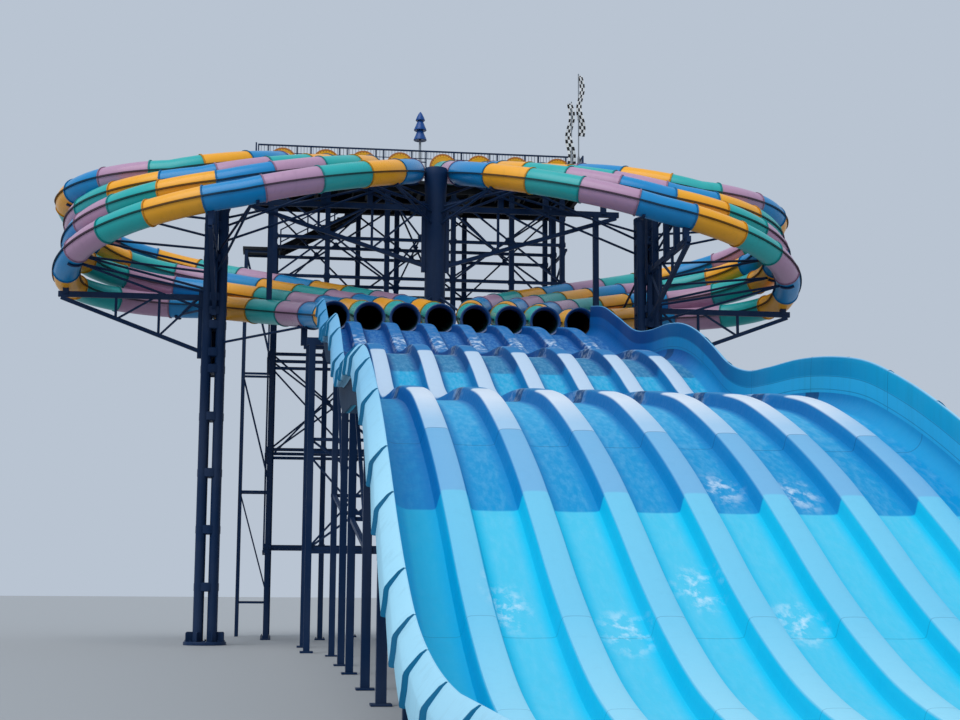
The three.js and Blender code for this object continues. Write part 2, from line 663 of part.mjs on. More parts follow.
// The room above the bed's underside, which the frames' posts and beams are cut back to
function underClear() {
  const half = BED_HALF + 1;
  const low = -BED_THICK - GAP;
  return [[-half, low], [half, low], [half, 1], [-half, 1]].map(([x, z]) => new THREE.Vector2(x, z));
}

// Finial: stacked cones on a post; pennants: wavy strips on thin poles
function finial() {
  const profile = FINIAL_OUTLINE.map(([radius, z]) => new THREE.Vector2(radius, z));
  const turned = new THREE.LatheGeometry(profile, 12).rotateX(Math.PI / 2);
  return turned.translate(FINIAL.x, FINIAL.y, DECK_TOP + GAP);
}

function pennant({ x, y, poleTop, flagLow, flagHigh }) {
  const left = [];
  const right = [];
  for (let index = 0; index <= PENNANT_ROWS; index += 1) {
    const u = index / PENNANT_ROWS;
    const sway = PENNANT_SWAY * Math.sin(u * 3 * Math.PI);
    const half = PENNANT_HALF * (1 - 0.35 * u);
    const z = flagLow + (flagHigh - flagLow) * u;
    left.push(new THREE.Vector2(sway - half, z));
    right.push(new THREE.Vector2(sway + half, z));
  }
  const section = new THREE.Shape([...right, ...left.reverse()]);
  const cloth = new THREE.ExtrudeGeometry(section, { depth: PENNANT_THICK, bevelEnabled: false });
  cloth.rotateX(Math.PI / 2).translate(x, y + PENNANT_THICK / 2, 0);
  const pole = drum(x, y, DECK_TOP + GAP, poleTop, 0.05, 8);
  return join([cloth, pole]);
}

// Materials and the finished group
const COLOURS = {
  teal: 0x40b8ac,
  mauve: 0xb088a4,
  blue: 0x146eaf,
  yellow: 0xe6a028,
  navy: 0x19284b,
  deck: 0x3c4450,
  deepBlue: 0x1e6eb4,
  middleBlue: 0x0096d7,
  cyan: 0x50c8eb,
  wall: 0xa0d2eb,
  black: 0x202024,
};

const root = new THREE.Group();

function add(name, shape, colour, roughness = 0.4, metalness = 0) {
  const geometry = shape.isBufferGeometry ? shape : toGeometry(shape);
  const material = new THREE.MeshStandardMaterial({ color: COLOURS[colour], roughness, metalness });
  const mesh = new THREE.Mesh(geometry, material);
  mesh.name = name;
  root.add(mesh);
}

function addSteel(name, shape) {
  add(name, shape, "navy", 0.45, 0.3);
}

const TUBE_COLOURS = ["teal", "mauve", "blue", "yellow"];
lanes.forEach((lane) => {
  const shell = tubeGeometry(paths[lane], TUBE_RADIUS, TUBE_RADIUS - TUBE_WALL);
  add(`right_tube_${lane + 1}`, shell, TUBE_COLOURS[lane]);
  add(`left_tube_${lane + 1}`, mirrored(shell), TUBE_COLOURS[lane]);
  add(`right_hood_${lane + 1}`, hoodGeometry(START_X[lane]), "yellow");
  add(`left_hood_${lane + 1}`, hoodGeometry(-START_X[lane]), "yellow");
});

add("platform_deck", deck(), "deck", 0.7);
addSteel("platform_beams", deckBeams());
addSteel("front_legs", legRow(FRONT_LEGS));
addSteel("middle_legs", legRow(MIDDLE_LEGS));
addSteel("back_legs", legRow(BACK_LEGS));
addSteel("left_bracing", sideBracing(-1));
addSteel("right_bracing", sideBracing(1));

const railSide = DECK_HALF - RAIL_INSET;
const railBack = DECK_BACK - RAIL_INSET;
const railFront = DECK_FRONT + HOOD_LENGTH + 0.12;
addSteel("left_railing", railing(-railSide, DECK_FRONT + RAIL_INSET, -railSide, railBack - 0.1));
addSteel("right_railing", railing(railSide, DECK_FRONT + RAIL_INSET, railSide, railBack - 0.1));
addSteel("back_left_railing", railing(-railSide, railBack, STAIR_TOP_X, railBack));
addSteel("back_right_railing", railing(STAIR_TOP_X + STAIR_HEAD, railBack, railSide, railBack));
addSteel("front_railing", hoodRailing(railFront));

addSteel("stair_flight", stairFlight());
add("stair_landing", landing(), "deck", 0.7);
addSteel("landing_frame", landingFrame());
addSteel("stair_rail", stairRails());

addSteel("right_column", column(COIL_COLUMN));
addSteel("left_column", mirrored(toGeometry(column(COIL_COLUMN))));
addSteel("centre_column", column(CENTRE_COLUMN));

Object.entries(ARMS).forEach(([name, spec]) => {
  const shape = toGeometry(arm(COIL_COLUMN, spec));
  addSteel(`right_${name}`, shape);
  addSteel(`left_${name}`, mirrored(shape));
});
const crossArm = toGeometry(arm(CENTRE_COLUMN, CROSS_ARM));
addSteel("centre_right_arm", crossArm);
addSteel("centre_left_arm", mirrored(crossArm));

addSteel("mouth_frame", exitFrame(MOUTH_FRAME));
addSteel("return_frame", exitFrame(RETURN_FRAME));

const BED_COLOURS = ["deepBlue", "deepBlue", "middleBlue", "cyan"];
BED_NAMES.forEach((name, index) => {
  const from = BED_SPLITS[index];
  const to = BED_SPLITS[index + 1];
  add(`${name}_lanes`, ridingBody(bedOutline(), from, to), BED_COLOURS[index]);
});
WALL_NAMES.forEach((name, index) => {
  const from = WALL_SPLITS[index];
  const to = WALL_SPLITS[index + 1];
  add(`${name}_left_wall`, ridingBody(wallOutline(-1), from, to), "wall");
  add(`${name}_right_wall`, ridingBody(wallOutline(1), from, to), "wall");
});
Object.entries(BED_FRAMES).forEach(([name, distances]) => {
  addSteel(`${name}_bed_frame`, bedFrame(distances));
});

add("finial", finial(), "blue");
Object.entries(PENNANTS).forEach(([name, spec]) => add(name, pennant(spec), "black"));

root.scale.setScalar(MILLIMETRES);
export default root;
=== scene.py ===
"""Looks of the mat-racer slide tower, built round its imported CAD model.

Lengths are the real slide's, in metres; every mesh is written at half that size, in the CAD
frame: X across the lanes, +Y uphill, Z up from the lowest ground. A distance down the bed is
measured from the tube mouths, so a point's Y is its distance made negative.
"""

from functools import reduce
from itertools import product

import bpy
import numpy as np
from mathutils import Matrix
from numpy.linalg import norm


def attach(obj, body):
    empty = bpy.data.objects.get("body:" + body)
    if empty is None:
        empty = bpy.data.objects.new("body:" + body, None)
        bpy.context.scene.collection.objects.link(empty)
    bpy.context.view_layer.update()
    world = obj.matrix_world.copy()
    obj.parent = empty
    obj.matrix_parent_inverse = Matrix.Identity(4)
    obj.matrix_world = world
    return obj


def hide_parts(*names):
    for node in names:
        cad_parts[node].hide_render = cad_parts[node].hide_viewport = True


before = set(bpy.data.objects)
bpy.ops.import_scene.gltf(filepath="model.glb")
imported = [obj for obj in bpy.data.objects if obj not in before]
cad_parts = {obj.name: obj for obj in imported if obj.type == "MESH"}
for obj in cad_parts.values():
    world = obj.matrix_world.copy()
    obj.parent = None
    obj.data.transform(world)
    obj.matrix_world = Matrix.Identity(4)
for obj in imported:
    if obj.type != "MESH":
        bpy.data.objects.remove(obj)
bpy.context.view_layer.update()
scene = bpy.context.scene

HALF = 0.5
PI = np.pi
GAP = 0.0007

# Tubes: one value per lane, from the inner start to the outer one
START_X = [0.88, 2.37, 3.88, 5.62]
EXIT_X = [3.955, 2.825, 1.695, 0.565]
OUTER_X = [13.2, 13.01, 13.05, 13.5]
BACK_RADIUS = [2.97, 3.19, 3.4, 3.7]
HOME_RADIUS = [12.38, 12.73, 13.26, 13.9]
FRONT_Z = [14.77, 15.41, 15.87, 16.44]
OUTER_Z = [12.88, 14.05, 15.0, 15.99]
HOME_Z = [12.45, 13.11, 13.67, 14.25]
START_Y, START_Z, MOUTH_Z, MOUTH_STRAIGHT = 13.2, 18.83, 10.5, 0.6
TUBE_RADIUS, TUBE_WALL = 0.445, 0.035
SHELL_SIDES, FLANGE_SIDES, JOINT_BOLTS = 36, 28, 12
# Where a tube's segments meet: an offset and a spacing along it
JOINT_START = [3.16, 0.6, 0.05, 1.72]
JOINT_STEP = [1.95, 1.9, 1.87, 1.79]
# Just inside the CAD model's widest X, where the outermost tube's seams are cut flush
WIDEST = 13.952

# Platform, hoods and stair
DECK_TOP = START_Z - TUBE_RADIUS + TUBE_WALL
DECK_LOW = DECK_TOP - 0.12
DECK_HALF, DECK_BACK = 6.75, 17.8
RAIL_HEIGHT, HOOD_RAIL_HEIGHT = 1.35, 1.65
HOOD_RADIUS, HOOD_LENGTH = 0.5, 1.2
HOOD_SPRING = HOOD_RADIUS + 0.12
BEAM_TOP = DECK_LOW - GAP
LEG_LEVELS = [16.0, 14.4, 11.2, 7.4, 3.6]
LEG_ROWS = {13.45: [1.35, 3.75, 5.85], 15.5: [0.8, 5.85], 17.6: [2.3, 5.85]}
STAIR_X, STAIR_WIDTH = (-2.1, -0.6), 1.2

# Columns
COIL_X, COIL_Y, COIL_TOP = 7.95, 7.44, 15.8
PIPE_RADIUS, PIPE_OFFSET = 0.175, 0.245
ARM_LEVELS = [13.7, 11.8, 12.3, 10.3, 11.3, 9.7]
CENTRE_RADIUS, CENTRE_TOP = 0.38, 17.41
STRUT_RADIUS = 0.045

# Racing bed: the floor's (distance, height) profile, and where its pieces meet
BED_PROFILE = np.array([
    [0, 10.1], [2, 9.72], [4.2, 9.0], [6.3, 8.3], [8, 8.03], [10.2, 7.85], [11.6, 7.62],
    [12.9, 7.24], [14.2, 6.7], [15.6, 6.06], [17, 5.7], [18.4, 5.58], [20.5, 5.46], [22.5, 5.22],
    [24, 4.93], [25.3, 4.52], [26.6, 4.02], [28.1, 3.34], [29.5, 2.58], [30.9, 1.78], [32.2, 1.15],
    [33.5, 0.66], [35, 0.34], [37, 0.14], [42.5, 0.12],
])
BED_END = 42.5
BED_SPLITS = [0, 10.2, 20.5, 32.2, BED_END]
WALL_SPLITS = [0, 20.5, BED_END]
LANE_PITCH = 1.13
BED_HALF = 4 * LANE_PITCH - 0.21 * LANE_PITCH
BED_THICK, BED_STEP = 0.12, 0.12
DIVIDER_HEIGHT, COVE = 0.25, 0.3
# Downhill ends of the wall panels, and how far each panel laps outward
PANEL_ENDS = np.array([2.2, 4.1, 6.0, 7.9, 9.8, 11.7, 13.6, 15.5, 17.4, 19.3, 21.2, 23.1, 25.0,
                       26.9, 29.0, 30.2, 32.1, 33.4, 34.8, 36.6, 38.8, 40.8])
LAP = 0.055
# Patches of painted reflection, wet sheets that catch the sky, as X and distance
GLARE_PATCHES = [(-3.0, 31.05), (0.55, 28.0), (1.65, 28.15), (-0.5, 30.6), (-1.65, 31.6),
                (0.55, 31.35)]

# The finial's foot, and each pennant's X, Y, pole top, cloth foot and head, lean and half width
FINIAL = (0.16, 15.8, DECK_TOP + GAP)
PENNANTS = {"left": (6.23, 13.34, 22.1, 19.4, 22.0, -0.05, 0.17),
            "right": (6.58, 13.6, 23.4, 20.7, 23.3, 0.09, 0.14)}


# Meshes
def joined(*axes):
    """Numbers and arrays side by side as points, one for each coordinate."""
    return np.stack(np.broadcast_arrays(*axes), -1)


def quads_to_tris(quads):
    """Each quad as two triangles."""
    return np.vstack([quads[:, [0, 1, 2]], quads[:, [0, 2, 3]]])


def grid_tris(rows, columns, close_rows=False, close_columns=True):
    """Triangles of a grid of points numbered row by row, joined round where it is closed."""
    r, c = np.meshgrid(np.arange(rows if close_rows else rows - 1),
                       np.arange(columns if close_columns else columns - 1), indexing="ij")
    here, below, beside = r * columns, (r + 1) % rows * columns, (c + 1) % columns
    corners = joined(here + c, here + beside, below + beside, below + c)
    return quads_to_tris(corners.reshape(-1, 4))


def swept(rings):
    """A closed solid through rings of points (ring, corner, xyz), with a fan over each end."""
    rings = np.asarray(rings, float)
    count, corners = rings.shape[:2]
    points = np.vstack([rings.reshape(-1, 3), rings[:1].mean(1), rings[-1:].mean(1)])
    near, tip = np.arange(corners), count * corners
    beside, shift = (near + 1) % corners, tip - corners
    fans = joined(beside, near, tip), joined(near + shift, beside + shift, tip + 1)
    return points, np.vstack([grid_tris(count, corners), *fans])


def two_sided(rings, top):
    """A closed solid through rings whose first top points are one side and whose other points
    come back along the other side: each end closes with a strip between the two."""
    count, corners = rings.shape[:2]
    k = np.arange(top - 1)
    caps = quads_to_tris(joined(k, k + 1, corners - 2 - k, corners - 1 - k))
    ends = caps[:, ::-1], caps + (count - 1) * corners
    return rings.reshape(-1, 3), np.vstack([grid_tris(count, corners), *ends])


def wrapped(rings):
    """A closed solid whose rings of points also join round from the last ring to the first."""
    rings = np.asarray(rings, float)
    return rings.reshape(-1, 3), grid_tris(*rings.shape[:2], close_rows=True)


def prisms(feet, heads):
    """Many prisms at once, from the rings of points (prism, corner, xyz) at their two ends."""
    ends = [feet, heads, feet.mean(1, keepdims=True), heads.mean(1, keepdims=True)]
    points = np.concatenate(ends, 1)
    _, one = swept(np.zeros((2, feet.shape[1], 3)))
    tris = one[None] + (np.arange(len(feet)) * points.shape[1])[:, None, None]
    return points.reshape(-1, 3), tris.reshape(-1, 3)


def merged(shapes):
    """Several (points, triangles) shapes as one."""
    offset = np.cumsum([0] + [len(points) for points, _ in shapes])
    points = np.vstack([points for points, _ in shapes])
    return points, np.vstack([tris + o for (_, tris), o in zip(shapes, offset)])


def mirrored(shape):
    """The shape on the other side of the slide's middle plane."""
    points, tris = shape
    return points * [-1, 1, 1], tris[:, ::-1]


def both_sides(shapes):
    """The shapes with their mirror images, as one."""
    whole = merged(shapes)
    return merged([whole, mirrored(whole)])


SIDES = (("right", lambda shape: shape), ("left", mirrored))


def piece(name, shape, finish, replaces=(), smooth=True, uv=None):
    """An object at the origin from a shape in real metres, riding on the one body. Its faces are
    turned so that it encloses a positive volume, and edges over 35 degrees stay sharp."""
    points, tris = shape
    a, b, c = points[tris].transpose(1, 0, 2)
    if np.einsum("ij,ij->i", a, np.cross(b, c)).sum() < 0:
        tris = tris[:, ::-1]
    mesh = bpy.data.meshes.new(name)
    mesh.from_pydata(points * HALF, [], tris)
    if uv is not None:
        layer = mesh.uv_layers.new(name="lengthwise")
        layer.data.foreach_set("uv", uv[tris.ravel()].astype(np.float32).ravel())
    mesh.update(calc_edges=True)
    mesh.validate()
    if smooth:
        mesh.shade_smooth()
        mesh.set_sharp_from_angle(angle=np.radians(35))
    mesh.materials.append(finish)
    made = bpy.data.objects.new(name, mesh)
    scene.collection.objects.link(made)
    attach(made, "root")
    if replaces:
        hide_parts(*replaces)


def frames_along(path):
    """Side and up vectors square to a path: the side is level wherever the path isn't upright."""
    ahead = np.gradient(path, axis=0)
    ahead /= norm(ahead, axis=1, keepdims=True)
    side = np.cross(ahead, [0, 0, 1.0])
    flat = norm(side, axis=1, keepdims=True)
    side = np.where(flat > 1e-3, side / np.maximum(flat, 1e-9), [1.0, 0, 0])
    return side, np.cross(side, ahead)


def turns(sides):
    """Angles of a circle's points, the first half a step from zero."""
    return (np.arange(sides) + 0.5) * 2 * PI / sides


def circle(sides):
    """Unit circle points as (cosine, sine) pairs."""
    return joined(np.cos(turns(sides)), np.sin(turns(sides)))


def facing_arc(x, y, z, radius, angle):
    """Points at given angles on a circle that faces along Y, about x and z."""
    return joined(x + radius * np.cos(angle), y, z + radius * np.sin(angle))


def level_arc(x, y, z, radius, angle):
    """Points at given angles on a level circle about x and y."""
    return joined(x + radius * np.cos(angle), y + radius * np.sin(angle), z)


def along_path(path, section, scale=np.ones(1)):
    """Rings of a section (corner, side and up) set square to the path, scaled ring by ring."""
    side, up = frames_along(path)
    flat = section[None] * scale[:, None, None]
    return path[:, None] + flat[..., :1] * side[:, None] + flat[..., 1:] * up[:, None]


def eased(width, height, ease=0.12):
    """A rectangle whose corners are cut off by a share of its shorter side."""
    w, h, e = width / 2, height / 2, ease * min(width, height)
    return np.array([[w - e, -h], [w, -h + e], [w, h - e], [w - e, h],
                     [-w + e, h], [-w, h - e], [-w, -h + e], [-w + e, -h]])


def rod(start, end, radius, sides=8):
    """A round bar between two points."""
    return swept(along_path(np.linspace(start, end, 2), circle(sides) * radius))


def bar(start, end, width, depth, ease=0.12):
    """A bar of rectangular section with eased edges between two points."""
    return swept(along_path(np.linspace(start, end, 2), eased(width, depth, ease)))


def plate(centre, across, upward, width, height, thick):
    """A flat plate: eased corners in the plane of two vectors, and its thickness square to both."""
    across, upward = np.array(across, float), np.array(upward, float)
    out = np.cross(across, upward) * thick / 2
    outline = eased(width, height)
    flat = centre + outline[:, :1] * across + outline[:, 1:] * upward
    return swept([flat - out, flat + out])


def block(low, high):
    """A block between two corners, with edges left sharp."""
    (a, b, c), (d, e, f) = low, high
    return swept([[(a, b, z), (d, b, z), (d, e, z), (a, e, z)] for z in (c, f)])


def turned(profile, x, y, z=0.0, sides=24):
    """A (radius, height) profile turned about an upright axis at x and y, its foot at z."""
    return swept([level_arc(x, y, z + h, r, turns(sides)) for r, h in profile])


def bolts(places, normals, radius, height):
    """Hexagon heads on points, along their normals: sunk by 0.3 and standing by 1 of the height."""
    places = np.asarray(places, float)
    normals = np.broadcast_to(np.asarray(normals, float), places.shape)
    spare = np.where(np.abs(normals[:, 2:]) > 0.9, [[1.0, 0, 0]], [[0, 0, 1.0]])
    side = np.cross(normals, spare)
    side /= norm(side, axis=1, keepdims=True)
    up = np.cross(side, normals)
    ring = circle(6) * radius
    hexagon = ring[None, :, :1] * side[:, None] + ring[None, :, 1:] * up[:, None]
    foot, head = places - normals * height * 0.3, places + normals * height
    return prisms(foot[:, None] + hexagon, head[:, None] + hexagon)


# Paths
def resample(path, distances):
    """Points at given distances along a polyline, and its whole length."""
    run = np.r_[0, np.cumsum(norm(np.diff(path, axis=0), axis=1))]
    return joined(*[np.interp(distances, run, axis) for axis in path.T]), run[-1]


def tube_path(lane):
    """Centre line of a right-hand tube: straight, two quarter turns of one radius round the
    front, a tighter turn at the outer end, a wide turn home and a short straight. Each run's
    height falls evenly."""
    start, outer, tight, wide = START_X[lane], OUTER_X[lane], BACK_RADIUS[lane], HOME_RADIUS[lane]
    home = EXIT_X[lane] + wide
    reach = home - outer + tight
    turn_y = MOUTH_STRAIGHT + np.sqrt((wide - tight) ** 2 - reach ** 2)
    leave = np.arctan2(turn_y - MOUTH_STRAIGHT, outer - tight - home)
    front = (outer - start) / 2
    u = np.linspace(0, 1, 61)

    def arc(x, y, radius, low, high):
        return level_arc(x, y, 0, radius, low + (high - low) * u)

    runs = [
        joined(start, START_Y + (turn_y - START_Y) * u, 0),
        arc(start + front, turn_y, front, PI, 1.5 * PI),
        arc(start + front, turn_y, front, 1.5 * PI, 2 * PI),
        arc(outer - tight, turn_y, tight, 0, leave),
        arc(home, MOUTH_STRAIGHT, wide, leave, PI),
        joined(EXIT_X[lane], MOUTH_STRAIGHT * (1 - u), 0),
    ]
    first, quarter, last = START_Y - turn_y, front * PI / 2, wide * (PI - leave)
    slope = (START_Z - FRONT_Z[lane]) / (first + quarter)
    mouth_turn = MOUTH_Z + (HOME_Z[lane] - MOUTH_Z) * MOUTH_STRAIGHT / (MOUTH_STRAIGHT + last)
    heights = [START_Z, START_Z - slope * first, FRONT_Z[lane], OUTER_Z[lane], HOME_Z[lane],
               mouth_turn, MOUTH_Z]
    rows = [run + joined(0, 0, low + (high - low) * u)
            for run, low, high in zip(runs, heights, heights[1:])]
    return np.vstack(rows[:1] + [row[1:] for row in rows[1:]])


PATHS = [tube_path(lane) for lane in range(4)]


def joint_distances(lane):
    """Distances of the joints along a tube: three even segments, then even ones, a little longer
    past the twelfth."""
    _, length = resample(PATHS[lane], [0.0])
    step = JOINT_STEP[lane]
    third = JOINT_START[lane] + 3 * step
    index = np.arange(1, int(length / step) + 1)
    rest = third + step * (index + 0.07 * np.maximum(index - 9, 0))
    return np.r_[0, third / 3, 2 * third / 3, third, rest[rest < length - 0.9], length]


def floor_height(distance):
    """Height of the lane floor: a cubic through the profile whose slopes are shared averages."""
    d, z = BED_PROFILE.T
    slope = np.diff(z) / np.diff(d)
    bend = np.r_[slope[0], (slope[1:] + slope[:-1]) / 2, 0.0]
    distance = np.clip(distance, 0, d[-1])
    k = np.clip(np.searchsorted(d, distance, side="right") - 1, 0, len(d) - 2)
    h = d[k + 1] - d[k]
    t = (distance - d[k]) / h
    height = ((2 * t ** 3 - 3 * t ** 2 + 1) * z[k] + (t ** 3 - 2 * t ** 2 + t) * h * bend[k]
              + (3 * t ** 2 - 2 * t ** 3) * z[k + 1] + (t ** 3 - t ** 2) * h * bend[k + 1])
    return np.maximum(height, z[-1])


# Materials
def linear(code):
    """An sRGB hex colour as linear RGBA."""
    value = np.array([int(code[i:i + 2], 16) / 255 for i in (0, 2, 4)])
    value = np.where(value <= 0.04045, value / 12.92, ((value + 0.055) / 1.055) ** 2.4)
    return (*value, 1.0)


class Tree:
    """Adds nodes to a node tree: an input that is a socket is linked, any other is set, and a
    hex code sets a colour."""

    def __init__(self, tree):
        self.tree = tree

    def fill(self, node, inputs):
        for key, value in inputs.items():
            if isinstance(value, bpy.types.NodeSocket):
                self.tree.links.new(value, node.inputs[key])
            else:
                node.inputs[key].default_value = linear(value) if isinstance(value, str) else value

    def add(self, kind, inputs=None, **settings):
        node = self.tree.nodes.new(kind)
        for key, value in settings.items():
            setattr(node, key, value)
        self.fill(node, inputs or {})
        return node

    def math(self, operation, *values):
        return self.add("ShaderNodeMath", dict(enumerate(values)), operation=operation).outputs[0]

    def times(self, first, second):
        return self.math("MULTIPLY", first, second)

    def most(self, first, second):
        return self.math("MAXIMUM", first, second)

    def mix(self, factor, first, second, blend="MIX"):
        inputs = {0: factor, 6: first, 7: second}
        return self.add("ShaderNodeMix", inputs, data_type="RGBA", blend_type=blend).outputs[2]

    def noise(self, vector, scale, detail=3.0, roughness=0.55):
        inputs = {"Vector": vector, "Scale": scale, "Detail": detail, "Roughness": roughness}
        return self.add("ShaderNodeTexNoise", inputs).outputs[0]

    def remap(self, value, low, high, to_low=0.0, to_high=1.0):
        inputs = {0: value, 1: low, 2: high, 3: to_low, 4: to_high}
        return self.add("ShaderNodeMapRange", inputs, clamp=True).outputs[0]

    def vector(self, operation, first, second=(0, 0, 0)):
        return self.add("ShaderNodeVectorMath", {0: first, 1: second}, operation=operation).outputs

    def spot(self):
        """Object coordinates."""
        return self.add("ShaderNodeTexCoord").outputs["Object"]

    def stretched(self, scale):
        """Object coordinates scaled axis by axis."""
        return self.add("ShaderNodeMapping", {"Vector": self.spot(), "Scale": scale}).outputs[0]

    def lengthwise(self):
        """The piece's own UV map."""
        return self.add("ShaderNodeUVMap", uv_map="lengthwise").outputs[0]

    def parts(self, vector=None):
        """Parts of a vector, or else of the UV map."""
        return self.add("ShaderNodeSeparateXYZ", {0: vector or self.lengthwise()}).outputs


def new_group(name, inputs, outputs):
    """An empty shader node group, as (group, Tree, input sockets, output node). A socket is a
    colour where its first value is one, and where it puts out Color."""
    group = bpy.data.node_groups.new(name, "ShaderNodeTree")
    kinds = {True: "NodeSocketColor", False: "NodeSocketFloat"}
    for label, value in inputs.items():
        kind = kinds[isinstance(value, tuple)]
        group.interface.new_socket(label, in_out="INPUT", socket_type=kind).default_value = value
    for label in outputs:
        group.interface.new_socket(label, in_out="OUTPUT", socket_type=kinds[label == "Color"])
    tree = Tree(group)
    return group, tree, tree.add("NodeGroupInput").outputs, tree.add("NodeGroupOutput")


def weather_group():
    """Outdoor wear: broad fading, rain streaks that run down, and a fine uneven surface."""
    group, tree, given, out = new_group("Outdoor wear", {
        "Color": (0.5, 0.5, 0.5, 1), "Grime": (0.05, 0.05, 0.05, 1), "Fade": 0.15, "Streaks": 0.2,
        "Gloss low": 0.2, "Gloss high": 0.4, "Grain": 60.0,
    }, ["Color", "Roughness", "Height"])
    broad = tree.noise(tree.spot(), 0.9, 4.0)
    streak = tree.remap(tree.noise(tree.stretched((5.0, 5.0, 0.45)), 2.2, 5.0, 0.65), 0.52, 0.78)
    fine = tree.noise(tree.spot(), given["Grain"], 2.0)
    pale = tree.mix(0.4, given["Color"], (0.8, 0.84, 0.86, 1))
    faded = tree.mix(tree.times(tree.remap(broad, 0.42, 0.75), given["Fade"]), given["Color"], pale)
    worn = tree.math("ADD", tree.times(fine, 0.5), tree.times(broad, 0.5))
    tree.fill(out, {
        "Color": tree.mix(tree.times(streak, given["Streaks"]), faded, given["Grime"]),
        "Roughness": tree.remap(worn, 0.3, 0.7, given["Gloss low"], given["Gloss high"]),
        "Height": tree.math("ADD", fine, tree.times(broad, 1.5)),
    })
    return group


def segment_group():
    """Colour of a tube by its segment number, the whole part of the UV map's first axis: four
    colours in turn."""
    group, tree, given, out = new_group("Segment colours", {
        "First": linear("22b0ae"), "Second": linear("bc93b0"), "Third": linear("068ac8"),
        "Fourth": linear("fcae22"),
    }, ["Color"])
    index = tree.math("MODULO", tree.math("FLOOR", tree.parts()[0]), 4.0)
    colour = given["First"]
    for low, label in ((0.5, "Second"), (1.5, "Third"), (2.5, "Fourth")):
        colour = tree.mix(tree.math("GREATER_THAN", index, low), colour, given[label])
    tree.fill(out, {"Color": colour})
    return group


WEAR = weather_group()
SEGMENTS = segment_group()


def finish_of(name, colour, worn, specular=0.5, bump=0.15, bump_distance=0.002, metallic=0.0):
    """A material: base colour, or a function that makes its socket, under outdoor wear, whose
    values come in the group's order: grime, fade, streaks, two ends of roughness and grain."""
    made = bpy.data.materials.new(name)
    made.use_nodes = True
    tree = Tree(made.node_tree)
    base = colour(tree) if callable(colour) else colour
    look = tree.add("ShaderNodeGroup", dict(enumerate([base, *worn])), node_tree=WEAR).outputs
    dent = tree.add("ShaderNodeBump", {"Strength": bump, "Distance": bump_distance,
                                       "Height": look["Height"]})
    tree.fill(made.node_tree.nodes["Principled BSDF"], {
        "Base Color": look["Color"], "Roughness": look["Roughness"], "Normal": dent.outputs[0],
        "Specular IOR Level": specular, "Metallic": metallic,
    })
    return made


def segment_colour(tree):
    """The tube's own colour for its segment."""
    return tree.add("ShaderNodeGroup", node_tree=SEGMENTS).outputs[0]


def tube_colour(tree):
    """The segment's colour outside, and painted shade inside: a near-black inner wall."""
    inside = tree.math("GREATER_THAN", tree.parts()[1], 1.5)
    return tree.mix(tree.times(inside, 0.94), segment_colour(tree), "04070c")


def flange_colour(tree):
    """The segment's colour with painted shade: a little darker on the rings and nearly black on
    the side seams, which also stand for the dark gasket.
    """
    share = tree.remap(tree.parts()[1], 0.0, 1.0, 0.42, 0.88)
    return tree.mix(share, segment_colour(tree), "06090f")


def real_axis(tree, axis, way=1):
    """One Object coordinate as a real length in metres, or that length made negative."""
    return tree.times(tree.parts(tree.spot())[axis], way / HALF)


def stepped(tree, value, colour, steps):
    """A colour that changes along a value, at each (place, width, colour) in order."""
    for place, width, code in steps:
        colour = tree.mix(tree.remap(value, place - width / 2, place + width / 2), colour, code)
    return colour


def band(tree, value, low, high, soft):
    """1 between two places along a value, 0 outside, with soft edges."""
    rise = tree.remap(value, low - soft / 2, low + soft / 2)
    return tree.times(rise, tree.remap(value, high - soft / 2, high + soft / 2, 1.0, 0.0))


